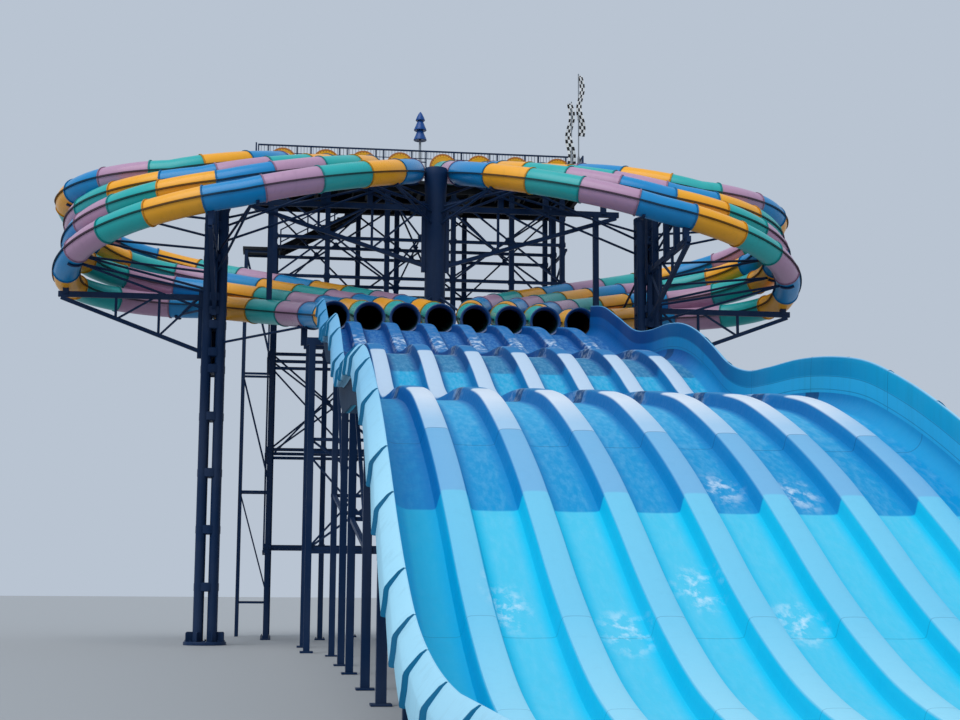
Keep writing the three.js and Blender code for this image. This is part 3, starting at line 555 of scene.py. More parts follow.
def lane_colour(tree):
    """The bed's blues by distance down it: lane floors, divider flanks and tops whose pale steps
    are painted sky glare, coves; dark seams across, the two broad ones at the crests painted
    shade; white foam at the crests, painted glints on the first dividers and painted reflections
    in a few lanes; dark blue underneath as painted shade. The UV map holds the share of cove,
    negative underneath, and how far up a divider a point is."""
    down, across = real_axis(tree, 1, -1), real_axis(tree, 0)
    cove_share, up_share, _ = tree.parts()
    floor = stepped(tree, down, "0c60a8", [
        (6, 5, "1f7abc"), (9.6, 0.6, "1878a8"), (13.65, 0.08, "0ca4d2"), (17, 1.2, "1c9cd0"),
        (22, 2.0, "28a4d6"), (25.5, 2.5, "0494cc"), (28.75, 0.04, "4cc6e4"), (36, 6.0, "70d8ee")])
    flank = stepped(tree, down, "06488a", [
        (9.6, 2.0, "04528e"), (13.65, 0.3, "0478b2"), (17, 1, "0474b4"), (26, 4, "048cc8"),
        (28.75, 0.04, "08c2e6"), (36, 6.0, "38d0ec")])
    # Divider tops: their own blue, with pale steps that are painted sky glare
    crown_and_glare = stepped(tree, down, "2272b2", [
        (8.5, 2.0, "2278b4"), (12.55, 0.12, "bcd2e6"), (17.2, 0.8, "2480b8"),
        (22.9, 0.2, "d6e2ee"), (25.2, 1.6, "a2c8e4"), (26.4, 0.05, "76b4dc"),
        (28.7, 0.05, "74c8e6"), (34, 5.0, "a6e2f2")])
    cove = stepped(tree, down, "0c5ea2", [
        (13, 2.0, "1088c2"), (24, 3.0, "1c9cd0"), (28.75, 0.05, "22b6de")])

    ripple = tree.remap(tree.noise(tree.stretched((9.0, 2.4, 3.0)), 3.0, 5.0, 0.6), 0.42, 0.7)
    mottled = tree.times(ripple, tree.remap(down, 24.0, 30.0, 0.24, 0.1))
    floor = tree.mix(mottled, floor, "a6dcf2")
    lane = tree.math("FRACT", tree.math("ADD", tree.math("DIVIDE", across, LANE_PITCH), 10.5))
    off = tree.times(tree.math("ABSOLUTE", tree.math("SUBTRACT", lane, 0.5)), LANE_PITCH)
    colour = tree.mix(tree.remap(off, 0.27, 0.4), flank, floor)
    colour = tree.mix(tree.remap(up_share, 0.83, 0.93), colour, crown_and_glare)
    colour = tree.mix(cove_share, colour, cove)
    # The outermost left lane lies in the wall's shade and is bluer
    edge_lane = tree.times(tree.remap(across, -3.5, -3.3, 0.85, 0.0),
                           tree.remap(up_share, 0.75, 0.93, 1.0, 0.0))
    colour = tree.mix(edge_lane, colour, tree.mix(1.0, colour, "2cdcec", "MULTIPLY"))
    # Each seam's place, half width and strength: the thin ones are panel joints, the broad ones at
    # 10.5 and 21.3 painted shade along the crests
    seams = [tree.times(band(tree, down, place - width, place + width, 0.01), strength)
             for place, width, strength in (
                 (4.2, 0.01, 0.35), (10.5, 0.35, 0.8), (16.9, 0.01, 0.35), (21.3, 0.38, 0.8),
                 (26.4, 0.012, 0.5), (31.7, 0.008, 0.3), (34.2, 0.008, 0.3), (37.0, 0.008, 0.3),
                 (39.8, 0.008, 0.3))]
    colour = tree.mix(reduce(tree.most, seams), colour, "0a3f70")

    bubbles = tree.remap(tree.noise(tree.stretched((8.0, 4.0, 8.0)), 1.5, 6.0, 0.62), 0.47, 0.63)
    crests = tree.most(band(tree, down, 9.8, 11.4, 0.8), band(tree, down, 20.2, 21.8, 0.8))
    # Painted glints: white highlights on the first drop's dividers
    first_drop_glints = tree.most(band(tree, down, 4.2, 6.2, 1.4),
                       tree.times(band(tree, down, 0.9, 7.0, 2.0), 0.12))
    heads = tree.times(first_drop_glints, tree.remap(up_share, 0.3, 1.0, 0.0, 0.7))
    # Real foam at the crests, mixed with the painted glints and the painted reflections below
    foam_and_glare = tree.most(tree.times(crests, 0.28), heads)
    # Painted reflections: pale patches where wet sheets catch the sky
    for x, place in GLARE_PATCHES:
        far = tree.vector("SUBTRACT", tree.spot(), (x * HALF, -place * HALF, 0))[0]
        size = tree.vector("LENGTH", tree.vector("MULTIPLY", far, (4.6, 2.6, 0))[0])["Value"]
        foam_and_glare = tree.most(foam_and_glare, tree.remap(size, 0.2, 0.85, 0.6, 0.0))
    foam_and_glare = tree.times(foam_and_glare, tree.math("LESS_THAN", cove_share, 0.3))
    colour = tree.mix(tree.times(foam_and_glare, bubbles), colour, "e8f4fb")
    # Painted shade: the underside dark blue
    return tree.mix(tree.math("LESS_THAN", cove_share, -0.05), colour, "14486e")


def wall_colour(tree):
    """Bands along the wall's inner face, a pale thin crest that is painted highlight, the rim, and
    a face under the rim darkened as painted shade. The UV map holds whether a point is on the inner
    face, and its height over the lane floor."""
    down = real_axis(tree, 1, -1)
    inside, height, _ = tree.parts()
    high = stepped(tree, down, "044584", [
        (9, 3, "056098"), (17, 4, "0a98c6"), (24, 3, "0cacd6"), (30, 4, "2cb8de")])
    low = stepped(tree, down, "0860a6", [
        (9, 3, "148cc4"), (17, 4, "30bce8"), (28.75, 0.1, "4cc8ea"), (36, 4, "78d6f0")])
    inner = tree.mix(tree.remap(height, 0.61, 0.63), low, high)
    line = tree.most(band(tree, height, 0.6, 0.615, 0.004), band(tree, height, 0.355, 0.37, 0.004))
    seams = [band(tree, down, place - 0.012, place + 0.012, 0.01) for place in PANEL_ENDS[::2]]
    line = tree.most(line, reduce(tree.most, seams))
    inner = tree.mix(tree.times(line, 0.5), inner, "0a4f80")
    # Painted highlight: a thin pale line along the crest
    inner = tree.mix(tree.remap(height, 0.962, 0.97), inner, "a4d6ee")
    outer = stepped(tree, down, "549ccc", [
        (8, 5, "7ab8de"), (18, 4, "8cc8e8"), (28, 4, "a6def4")])
    # Painted shade: the outer face under the rim nearly black
    outer = tree.mix(tree.math("LESS_THAN", height, 0.41), outer, "0a2f4c")
    return tree.mix(inside, outer, inner)


def checks(tree):
    """Black and white squares along the UV map."""
    inputs = {"Vector": tree.lengthwise(), "Color1": "f4f4f2", "Color2": "141416", "Scale": 1.0}
    return tree.add("ShaderNodeTexChecker", inputs).outputs[0]


GLOSS = ("2b3a38", 0.07, 0.12, 0.24, 0.4)
MATT = ("2b3a38", 0.07, 0.12, 0.6, 0.75)
STEEL = ("080b12", 0.06, 0.3, 0.4, 0.6)
DULL = ("0c0d10", 0.08, 0.35, 0.6, 0.85)
WET = ("0a3550", 0.03, 0.04, 0.42, 0.6, 14.0)

TUBES = finish_of("tube gel coat", tube_colour, GLOSS, 0.35)
FLANGES = finish_of("flange gel coat", flange_colour, DULL, 0.2)
YELLOW = finish_of("hood yellow", "f7a616", GLOSS, 0.3)
ORANGE = finish_of("hood lip orange", "b8680e", GLOSS)
MOUTH_BLUE = finish_of("mouth blue", "083f72", GLOSS, 0.4)
NAVY = finish_of("navy steel paint", "0f2c50", STEEL, 0.15, bump=0.1)
# Navy steel near black as painted shade, for the parts under the deck and the stair flight; the
# hood bolts use it too
SHADED_NAVY = finish_of("navy steel in painted shade", "05080f", DULL, 0.15, bump=0.1)
DECKING = finish_of("deck boards", "1b2029", DULL, 0.3, bump=0.4)
ZINC = finish_of("zinc bolts", "6d747b", STEEL, metallic=0.8)
LANES = finish_of("wet lane gel coat", lane_colour, WET, 0.1, bump=0.25, bump_distance=0.01)
WALLS = finish_of("wall gel coat", wall_colour, MATT, 0.1)
JOINTS = finish_of("panel joint teal", "0f6c92", DULL, 0.2)
FINIAL_BLUE = finish_of("finial blue", "09488e", GLOSS, 0.3)
CHECKER = finish_of("checkered cloth", checks, DULL, bump=0.3)
SILVER = finish_of("galvanised pole", "8a9096", STEEL, metallic=0.6)


# Tubes
def tube_shape(lane):
    """A shell round the path: outer wall out, inner wall back, joined at both ends. The radius
    swells by a few millimetres where segments meet. Its UV counts segments along, and turns round
    plus two on the inner wall. Also gives the centre line, its segment count and the joints."""
    joints = joint_distances(lane)
    count = np.arange(8 * len(joints) - 7) / 8
    centre, _ = resample(PATHS[lane], np.interp(count, np.arange(len(joints)), joints))
    near = np.abs(count - np.round(count))
    swell = 1 + 0.012 * np.exp(-(near * 9) ** 2)
    outer = along_path(centre, circle(SHELL_SIDES) * TUBE_RADIUS, swell)
    inner = along_path(centre, circle(SHELL_SIDES) * (TUBE_RADIUS - TUBE_WALL))
    for rings in (outer, inner):
        rings[0, :, 1] = START_Y
        rings[-1, :, 1] = 0.0
    u, inside = np.r_[count, count[::-1]][:, None], np.repeat([0.0, 2.0], len(count))[:, None]
    uv = joined(u, inside + np.arange(SHELL_SIDES) / SHELL_SIDES)
    return wrapped(np.vstack([outer, inner[::-1]])), uv.reshape(-1, 2), centre, count, joints


def within(shape):
    """The shape flattened where it would pass the widest tube's side."""
    points, tris = shape
    return np.column_stack([np.clip(points[:, 0], -WIDEST, WIDEST), points[:, 1:]]), tris


def flange_shape(lane, centre, count, joints):
    """Rings round each joint and two strips along the sides where the tube's halves meet."""
    shapes, uvs = [], []
    for index, joint in enumerate(joints[1:-1]):
        middle, _ = resample(PATHS[lane], joint + np.array([-0.025, 0.025]))
        shapes.append(wrapped([along_path(middle, circle(FLANGE_SIDES) * (TUBE_RADIUS + r))[k]
                               for r, k in ((0.002, 0), (0.038, 0), (0.038, 1), (0.002, 1))]))
        uvs.append(np.tile([[index + 0.5, 0.0]], (4 * FLANGE_SIDES, 1)))
    for hand in (-1, 1):
        a, b, h = TUBE_RADIUS - 0.004, TUBE_RADIUS + 0.055, 0.028
        section = np.array([[a, -h], [b, -h], [b, h], [a, h]]) * [hand, 1]
        shapes.append(swept(along_path(centre[2:-2], section)))
        u = np.r_[np.repeat(count[2:-2], 4), count[2], count[-3]]
        uvs.append(joined(u, 1.0))
    return within(merged(shapes)), np.vstack(uvs)


def joint_bolts(lane, joints):
    """A ring of bolt heads round every joint, on both faces of its flange."""
    places, normals = [], []
    for joint in joints[1:-1]:
        pair, _ = resample(PATHS[lane], joint + np.array([-0.026, 0.026]))
        ahead = (pair[1] - pair[0]) / norm(pair[1] - pair[0])
        places += [*along_path(pair, circle(JOINT_BOLTS) * (TUBE_RADIUS + 0.022))]
        normals += [np.tile(way, (JOINT_BOLTS, 1)) for way in (-ahead, ahead)]
    return within(bolts(np.vstack(places), np.vstack(normals), 0.011, 0.012))


for lane in range(4):
    shell, uv, *run = tube_shape(lane)
    rims, rim_uv = flange_shape(lane, *run)
    heads = joint_bolts(lane, run[-1])
    for side, turn in SIDES:
        node = f"{side}_tube_{lane + 1}"
        piece(f"{node}_shell", turn(shell), TUBES, [node], uv=uv)
        piece(f"{node}_flanges", turn(rims), FLANGES, uv=rim_uv)
        piece(f"{node}_bolts", turn(heads), ZINC, smooth=False)


def collar(x):
    """The rolled lip round a tube mouth: a (radius, Y) profile turned, that flares at the bed."""
    profile = [(0.415, 0.30), (0.455, 0.32), (0.462, 0.10), (0.475, 0.03), (0.505, -0.04),
               (0.502, -0.075), (0.475, -0.085), (0.435, -0.06), (0.412, 0.0)]
    return wrapped([facing_arc(x, y, MOUTH_Z, r, turns(40)) for r, y in profile])


mouths = [collar(side * x) for side in (-1, 1) for x in EXIT_X]
piece("mouth_collars", merged(mouths), MOUTH_BLUE)


# Start hoods
def hood_shape(x):
    """An arched shell: straight sides under a half circle, its front rim rolled thicker. Each row
    of the profile is a depth with an outer and an inner radius."""
    angle = np.linspace(0, PI, 25)
    sides = np.linspace(0, HOOD_SPRING, 6)[:-1]

    def arch(radius):
        leg = joined(radius, sides)
        top = joined(radius * np.cos(angle), HOOD_SPRING + radius * np.sin(angle))
        return np.vstack([leg, top, leg[::-1] * [-1, 1]])

    rows = [(0.0, 0.5, 0.41), (0.02, 0.545, 0.4), (0.09, 0.55, 0.4), (0.11, 0.505, 0.42),
            (0.45, 0.49, 0.43), (0.8, 0.495, 0.42), (1.1, 0.505, 0.4), (1.12, 0.54, 0.4),
            (1.18, 0.54, 0.4), (1.2, 0.5, 0.41)]
    rings = []
    for depth, outer, inner in rows:
        outline = np.vstack([arch(outer), arch(inner)[::-1]])
        rings.append(joined(x + outline[:, 0], START_Y + 0.001 + depth,
                            DECK_TOP + GAP + outline[:, 1]))
    return two_sided(np.stack(rings), len(outline) // 2)


def hood_bolts(x):
    """A row of dark bolt heads round the rim that faces the tubes."""
    angle = np.linspace(0.08, PI - 0.08, 13)
    places = facing_arc(x, START_Y + 0.004, DECK_TOP + HOOD_SPRING, 0.47, angle)
    return bolts(places, [0, -1, 0], 0.013, 0.012)


def hood_lip(x):
    """A darker ring of lip along the arch's front edge."""
    angle = np.linspace(-0.15, PI + 0.15, 33)
    rows = [facing_arc(x, START_Y + y, DECK_TOP + HOOD_SPRING, radius, angle)
            for radius, y in ((0.49, -0.004), (0.552, 0.0), (0.56, 0.07), (0.49, 0.075))]
    return swept(np.stack(rows, 1))


def hood_front(x):
    """A crescent plate that closes the arch above the tube: its outer edge follows the arch's
    inner radius, and its inner edge the tube's outside."""
    share = np.linspace(0, 1, 33)
    inner = (START_Z, TUBE_RADIUS + 0.006, 0.5 + share * (PI - 1.0))
    outer = (DECK_TOP + HOOD_SPRING, 0.415, 0.06 + share * (PI - 0.12))
    rows = [facing_arc(x, START_Y + y, *edge)
            for edge, y in ((inner, 0.006), (outer, 0.006), (outer, 0.024), (inner, 0.024))]
    return swept(np.stack(rows, 1))


for index, x in enumerate(START_X):
    for side, sign in (("right", 1), ("left", -1)):
        node = f"{side}_hood_{index + 1}"
        piece(f"{node}_front", hood_front(sign * x), YELLOW, smooth=False)
        piece(f"{node}_shell", hood_shape(sign * x), YELLOW, [node])
        piece(f"{node}_lip", hood_lip(sign * x), ORANGE)
        piece(f"{node}_bolts", hood_bolts(sign * x), SHADED_NAVY, smooth=False)


# Racing bed
def bed_section():
    """Half-rounded dividers between dished lanes, and a quarter circle up to each wall: offsets
    across and heights."""
    offsets = np.array([0, 0.06, 0.13, 0.17, 0.195, 0.215, 0.232, 0.25, 0.3])
    rise = [0.255, 0.254, 0.25, 0.235, 0.19, 0.12, 0.05, 0.012, 0.0]
    x, z = [], []
    for divider in range(-3, 4):
        if divider > -3:
            x += list(divider * LANE_PITCH - LANE_PITCH / 2 + np.array([-0.12, 0, 0.12]))
            z += [-0.004, -0.006, -0.004]
        x += list(divider * LANE_PITCH + np.r_[-offsets[:0:-1], offsets])
        z += rise[:0:-1] + rise
    edge = BED_HALF - GAP
    turn = np.linspace(0, PI / 2, 9)
    cove_x, cove_z = edge - COVE + COVE * np.sin(turn), COVE - COVE * np.cos(turn)
    return np.r_[-cove_x[::-1], x, cove_x], np.r_[cove_z[::-1], z, cove_z]


def carried(x, z, distance, grown=0.0):
    """Rings of an outline in X and Z at given distances down the bed, over its floor."""
    return joined(x + grown, -distance[:, None], floor_height(distance)[:, None] + z)


section_x, section_z = bed_section()
points_up = len(section_x)
outline_x = np.r_[section_x, section_x[::-1]]
outline_z = np.r_[section_z, np.full(points_up, -BED_THICK)]
share_up = np.r_[np.clip(section_z / DIVIDER_HEIGHT, 0, 1), np.zeros(points_up)]
share_up[np.abs(outline_x) > BED_HALF - 0.35] = 0
cove_share = np.clip((np.abs(outline_x) - (BED_HALF - 0.24)) / 0.06, 0, 1)
cove_share[points_up:] = -1
names = ("first_drop", "second_drop", "third_drop", "runout")
for name, low, high in zip(names, BED_SPLITS, BED_SPLITS[1:]):
    rows = max(3, int(round((high - low) / BED_STEP)))
    rings = carried(outline_x, outline_z, np.linspace(low + GAP, high - GAP, rows))
    uv = np.tile(joined(cove_share, share_up), (rows, 1))
    piece(f"{name}_bed", two_sided(rings, points_up), LANES, [f"{name}_lanes"], uv=uv)


def wall_section():
    """A side wall: an inner face, then a rim rolled out and down. Gives offsets, heights, how far
    each point moves out at a panel's end, and how many points the inner and rim side has."""
    inner = [(0.0, -0.12), (0.0, 0.3), (0.004, 0.5), (0.012, 0.7), (0.022, 0.88), (0.03, 0.95),
             (0.038, 0.975), (0.05, 0.98), (0.09, 0.94), (0.17, 0.83), (0.215, 0.765),
             (0.228, 0.73), (0.24, 0.6), (0.26, 0.46), (0.255, 0.43), (0.23, 0.42)]
    lap = [0] * 7 + [0.2, 0.55, 0.9, 1, 1, 1, 1, 1, 1]
    under = [(0.1, -0.12), *[(0.1, k / 10) for k in range(5)], (0.12, 0.42),
             *[(x, 0.425) for x in (0.14, 0.16, 0.17, 0.18, 0.19, 0.2, 0.205)],
             (0.21, 0.422), (0.215, 0.42)]
    both = np.array(inner + under[::-1])
    return BED_HALF + GAP + both[:, 0], both[:, 1], np.array(lap + [0] * 16), len(inner)


def wall_shape(low, high):
    """The wall's section carried down the bed; each panel's rim grows outward to its lower end
    and steps back where the next one starts."""
    x, z, lap, top = wall_section()
    ends = PANEL_ENDS[(PANEL_ENDS > low + 0.1) & (PANEL_ENDS < high - 0.1)]
    plain = np.linspace(low + GAP, high - GAP, int((high - low) / 0.2))
    plain = plain[np.abs(plain[:, None] - ends[None]).min(1) > 0.03]
    distance = np.sort(np.r_[plain, ends - 0.001, ends + 0.001])
    edges = np.r_[0, PANEL_ENDS, BED_END]
    grown = LAP * (np.interp(distance, edges, np.arange(len(edges))) % 1)
    inside = (np.arange(len(x)) < 6).astype(float)
    uv = np.tile(joined(inside, z), (len(distance), 1))
    return two_sided(carried(x, z, distance, grown[:, None] * lap), top), uv


def panel_joints(low, high):
    """A thin dark plate over each panel's lower end, as wide as the rim's step."""
    x, z, lap, top = wall_section()
    rim = np.arange(7, top)
    outer = joined(x[rim] + LAP * lap[rim] + 0.004, z[rim])
    inner = joined(x[rim] - 0.015, z[rim] - 0.004)
    outline = np.vstack([outer, inner[::-1]])
    shapes = []
    for end in PANEL_ENDS[(PANEL_ENDS > low) & (PANEL_ENDS < high)]:
        rings = [joined(outline[:, 0], -distance, floor_height(end) + outline[:, 1])
                 for distance in (end - 0.012, end + 0.03)]
        shapes.append(two_sided(np.stack(rings), len(rim)))
    return merged(shapes)


for name, low, high in zip(("upper", "lower"), WALL_SPLITS, WALL_SPLITS[1:]):
    shape, uv = wall_shape(low, high)
    joints = panel_joints(low, high)
    for side, turn in SIDES:
        node = f"{name}_{side}_wall"
        piece(f"{node}_panel", turn(shape), WALLS, [node], uv=uv)
        piece(f"{name}_{side}_panel_joints", turn(joints), JOINTS, smooth=False)


# Columns
def foot_ring(x, y, first, plate_reach, plate_width, bolt_reach, bolt_radius):
    """Eight upright plates round a column's foot from a first angle, and eight bolts between."""
    angles = first + np.arange(8) * PI / 4
    places, ways = level_arc(x, y, 0.28, plate_reach, angles), level_arc(0, 0, 0, 1, angles)
    shapes = [plate(*pair, [0, 0, 1], plate_width, 0.34, 0.03) for pair in zip(places, ways)]
    ring = level_arc(x, y, 0.12, bolt_reach, angles + PI / 8)
    return shapes + [bolts(ring, [0, 0, 1], bolt_radius, 0.05)]


def pipe_column():
    """Four upright pipes under a cap plate, tied by collars where the arms meet them."""
    x, y = COIL_X, COIL_Y
    foot = [(0.748, 0), (0.748, 0.09), (0.73, 0.12), (0.2, 0.12)]
    pipe = [(PIPE_RADIUS, 0.1), (PIPE_RADIUS, COIL_TOP - 0.2)]
    tie = [(0.405, -0.16), (0.44, -0.13), (0.44, 0.13), (0.405, 0.16)]
    cap = [(0.3, -0.7), (0.44, -0.3), (0.475, -0.2), (0.475, -0.03), (0.45, 0)]
    shapes = [turned(foot, x, y, 0, 32)]
    for dx, dy in product((-PIPE_OFFSET, PIPE_OFFSET), repeat=2):
        shapes.append(turned(pipe, x + dx, y + dy))
    for level in ARM_LEVELS + [2.0, 4.0, 6.0, 8.0, 14.9]:
        shapes.append(turned(tie, x, y, level, 32))
    shapes.append(turned(cap, x, y, COIL_TOP, 32))
    return merged(shapes + foot_ring(x, y, PI / 8, 0.56, 0.3, 0.66, 0.035))


def centre_shape():
    """A smooth pipe with two bands that widens to its head, with plates and bolts at its foot."""
    r, foot = CENTRE_RADIUS, CENTRE_RADIUS * 1.7
    profile = [(foot, 0), (foot, 0.1), (foot - 0.02, 0.12), (r + 0.02, 0.125), (r, 0.15)]
    for level in (6.0, 12.0):
        profile += [(r + out, level + up)
                    for out, up in ((0, 0), (0.015, 0.02), (0.015, 0.2), (0, 0.22))]
    profile += [(r, 16.1), (r + 0.05, 17.1), (r + 0.05, CENTRE_TOP - 0.03), (r + 0.03, CENTRE_TOP)]
    ring = foot_ring(0, COIL_Y, 0, r + 0.1, 0.22, 0.57, 0.03)
    return merged([turned(profile, 0, COIL_Y, 0, 40), *ring])


for side, turn in SIDES:
    piece(f"{side}_column_pipes", turn(pipe_column()), NAVY, replaces=[f"{side}_column"])
piece("centre_column_pipe", centre_shape(), NAVY, replaces=["centre_column"])


# Struts and saddles that carry the tubes
TUBE_POINTS = np.vstack([path * [side, 1, 1] for path in PATHS for side in (1, -1)])


def clear_of_tubes(start, end):
    """Whether a strut passes every tube with room to spare, apart from its own last stretch."""
    points = start + (end - start) * np.linspace(0, 1, 50)[:, None]
    points = points[norm(points - end, axis=1) > 0.45]
    gap = norm(points[:, None] - TUBE_POINTS[None], axis=2).min()
    return gap > TUBE_RADIUS + STRUT_RADIUS + 0.05


def saddle(centre, ahead):
    """A curved plate hugging the tube's underside: an arc of 60 degrees, square to the tube."""
    ahead = ahead / norm(ahead)
    side = np.cross(ahead, [0, 0, 1.0])
    side /= norm(side)
    up = np.cross(side, ahead)
    low, high = TUBE_RADIUS + 0.004, TUBE_RADIUS + 0.07
    rings = []
    for angle in np.radians(np.linspace(-120, -60, 9)):
        out = np.cos(angle) * side + np.sin(angle) * up
        rings.append([centre + out * r + ahead * w
                      for r, w in ((low, -0.05), (high, -0.05), (high, 0.05), (low, 0.05))])
    return swept(rings)


def struts_from(x, radius, reach, top, first, every):
    """Pairs of thin struts from a column to the tubes round it, each pair meeting at a saddle a
    little beyond every few joints: they rise gently to the high tubes and fall to the low ones."""
    column = np.array([x, COIL_Y, 0])
    shapes = []
    for lane, path in enumerate(PATHS):
        distances = joint_distances(lane)[first + lane % 2:-1:every] + 0.3
        here, there = resample(path, distances)[0], resample(path, distances + 0.05)[0]
        for centre, ahead in zip(here, there - here):
            flat = (centre - column) * [1, 1, 0]
            away = norm(flat)
            if not 1.4 < away < reach:
                continue
            out = flat / away
            end = centre - out * TUBE_RADIUS * 0.6 - [0, 0, TUBE_RADIUS * 0.8]
            chosen = []
            for slope in (0.1, 0.22, 0.34) if end[2] > 12.8 else (-0.42, -0.2, 0.05):
                start = column + out * radius + [0, 0, end[2] - slope * away]
                if len(chosen) < 2 and start[2] < top and clear_of_tubes(start, end):
                    chosen.append(rod(start, end, STRUT_RADIUS, 10))
            if chosen:
                shapes += chosen + [saddle(centre, ahead)]
    return both_sides(shapes)


piece("coil_struts", struts_from(COIL_X, 0.4, 7.4, 15.4, 2, 4), NAVY)
piece("centre_struts", struts_from(0, 0.36, 4.6, 17.1, 1, 2), NAVY)

frame_saddles = []
for path in PATHS:
    late = path[len(path) // 2:]
    for k in [np.abs(late[:, 1] - y).argmin() for y in (0.25, 5.0)]:
        frame_saddles.append(saddle(late[k], late[k] - late[k - 1]))
piece("frame_saddles", both_sides(frame_saddles), NAVY)


# Platform
def deck_boards():
    """Boards across the platform and the stair's head, with narrow gaps."""
    z, front = DECK_TOP - 0.03, START_Y + GAP
    step = (DECK_BACK - front) / 31
    rows = [(front + step * (index + 0.5), -DECK_HALF, DECK_HALF, 0.1405) for index in range(31)]
    rows += [(DECK_BACK + 0.08 + 0.145 * (index + 0.5), *STAIR_X, 0.138) for index in range(8)]
    return merged([bar((low + 0.02, y, z), (high - 0.02, y, z), width, 0.06, 0.08)
                   for y, low, high, width in rows])


def deck_edges():
    """The steel tray under the boards, and the edge channels round it."""
    z = DECK_LOW + 0.06
    return merged([
        block((-DECK_HALF, START_Y + GAP, DECK_LOW), (DECK_HALF, DECK_BACK, DECK_TOP - 0.062)),
        block((STAIR_X[0] + GAP, DECK_BACK - 0.1, DECK_LOW + 0.001),
              (STAIR_X[1], DECK_BACK + 0.08 + STAIR_WIDTH, DECK_TOP - 0.063)),
        *[bar((x, START_Y + 0.01, z), (x, DECK_BACK - 0.01, z), 0.016, 0.14)
          for x in (-DECK_HALF + 0.008, DECK_HALF - 0.008)],
        *[bar((-DECK_HALF, y, z), (DECK_HALF, y, z), 0.014, 0.14)
          for y in (START_Y + 0.009, DECK_BACK - 0.009)],
    ])


def joists():
    """Light joists hung between the platform's main beams."""
    z = BEAM_TOP - 0.09
    spans = product(np.arange(-6.3, 6.4, 0.6), ((13.55, 15.4), (15.6, 17.5)))
    return merged([bar((x, low, z), (x, high, z), 0.06, 0.16, 0.2) for x, (low, high) in spans])


def gussets():
    """Bolted plates where ties meet legs, and star plates where the braces cross."""
    shapes = []
    corners = np.array([[dx, 0, dz] for dx in (-0.09, 0.09) for dz in (-0.07, 0.07)])
    spans = ((BEAM_TOP - 0.4, LEG_LEVELS[1]), (LEG_LEVELS[2], LEG_LEVELS[3]))
    for y, xs in LEG_ROWS.items():
        for x, side, level, way in product(xs, (-1, 1), LEG_LEVELS, (-1, 1)):
            centre = np.array([side * x, y + way * 0.108, level])
            shapes.append(plate(centre, [1, 0, 0], [0, 0, 1], 0.26, 0.22, 0.014))
            heads = centre + [0, way * 0.007, 0] + corners
            shapes.append(bolts(heads, [0, way, 0], 0.02, 0.015))
        middle = (xs[0] + xs[-1]) / 2
        for x, (high, low) in product((-middle, 0, middle), spans):
            shapes.append(plate([x, y, (high + low) / 2], [0.7071, 0, 0.7071],
                                [-0.7071, 0, 0.7071], 0.17, 0.17, 0.09))
    return merged(shapes)


def foot_bolts():
    """Four bolts on every leg's foot plate."""
    places = [[side * x + dx, y + dy, 0.06] for y, xs in LEG_ROWS.items()
              for x, side, dx, dy in product(xs, (-1, 1), (-0.15, 0.15), (-0.15, 0.15))]
    return bolts(places, [0, 0, 1], 0.022, 0.05)


piece("deck_boards", deck_boards(), DECKING, ["platform_deck"])
piece("deck_edges", deck_edges(), SHADED_NAVY, smooth=False)
piece("deck_joists", joists(), SHADED_NAVY)
piece("leg_gussets", gussets(), NAVY)
piece("leg_foot_bolts", foot_bolts(), ZINC, smooth=False)


def pickets(start, end, low, high, keep_clear=()):
    """Thin upright bars about 125 mm apart along a railing, left out where something stands: each
    stretch to keep clear is a centre and a reach in X."""
    start, end = np.array([*start, 0.0]), np.array([*end, 0.0])
    count = int(norm(end - start) / 0.125)
    places = start + (end - start) * ((np.arange(count) + 0.5) / count)[:, None]
    for centre, reach in keep_clear:
        places = places[np.abs(places[:, 0] - centre) > reach]
    ring = places[:, None] + level_arc(0, 0, 0, 0.011, turns(4))
    return prisms(ring + [0, 0, low], ring + [0, 0, high])


rail_low, rail_high = DECK_TOP + 0.12, DECK_TOP + RAIL_HEIGHT - 0.04
hood_rail_mid, hood_rail_top = DECK_TOP + 1.3, DECK_TOP + HOOD_RAIL_HEIGHT - 0.04
rail_x, rail_y = DECK_HALF - 0.06, DECK_BACK - 0.06
hood_rail_y = START_Y + GAP + HOOD_LENGTH + 0.12
hood_gaps = [(s * x, HOOD_RADIUS + 0.06) for x in START_X for s in (-1, 1)]
hood_ends = (-rail_x, hood_rail_y), (rail_x, hood_rail_y)
rows = [
    *[pickets((x, START_Y + 0.1), (x, rail_y - 0.1), rail_low, rail_high)
      for x in (-rail_x, rail_x)],
    pickets((-rail_x, rail_y), (STAIR_X[0], rail_y), rail_low, rail_high),
    pickets((STAIR_X[1], rail_y), (rail_x, rail_y), rail_low, rail_high),
    pickets(*hood_ends, rail_low, hood_rail_top, hood_gaps),
    pickets(*hood_ends, hood_rail_mid, hood_rail_top),
]
piece("rail_pickets", merged(rows), NAVY, smooth=False)
piece("hood_rail_bar", rod(*[(*end, hood_rail_mid) for end in hood_ends], 0.018), NAVY)


# Finial and pennants
# Three stacked cones with rolled hems, and their pole
CONES = [
    [(0.1, 2.46), (0.262, 2.43), (0.28, 2.445), (0.275, 2.48), (0.225, 2.6), (0.17, 2.74),
     (0.13, 2.86)],
    [(0.1, 2.88), (0.25, 2.862), (0.27, 2.88), (0.265, 2.915), (0.215, 3.03), (0.16, 3.17),
     (0.11, 3.29)],
    [(0.08, 3.31), (0.185, 3.293), (0.2, 3.31), (0.196, 3.345), (0.15, 3.46), (0.08, 3.6),
     (0.03, 3.67), (0.004, 3.695)],
]
POLE = [(0.2, 0), (0.2, 0.04), (0.19, 0.05), (0.06, 0.06), (0.05, 0.08), (0.05, 3.4)]
cones = merged([turned(cone, *FINIAL, 32) for cone in CONES])
piece("finial_cones", cones, FINIAL_BLUE, ["finial"])
piece("finial_pole", turned(POLE, *FINIAL, 20), SILVER)


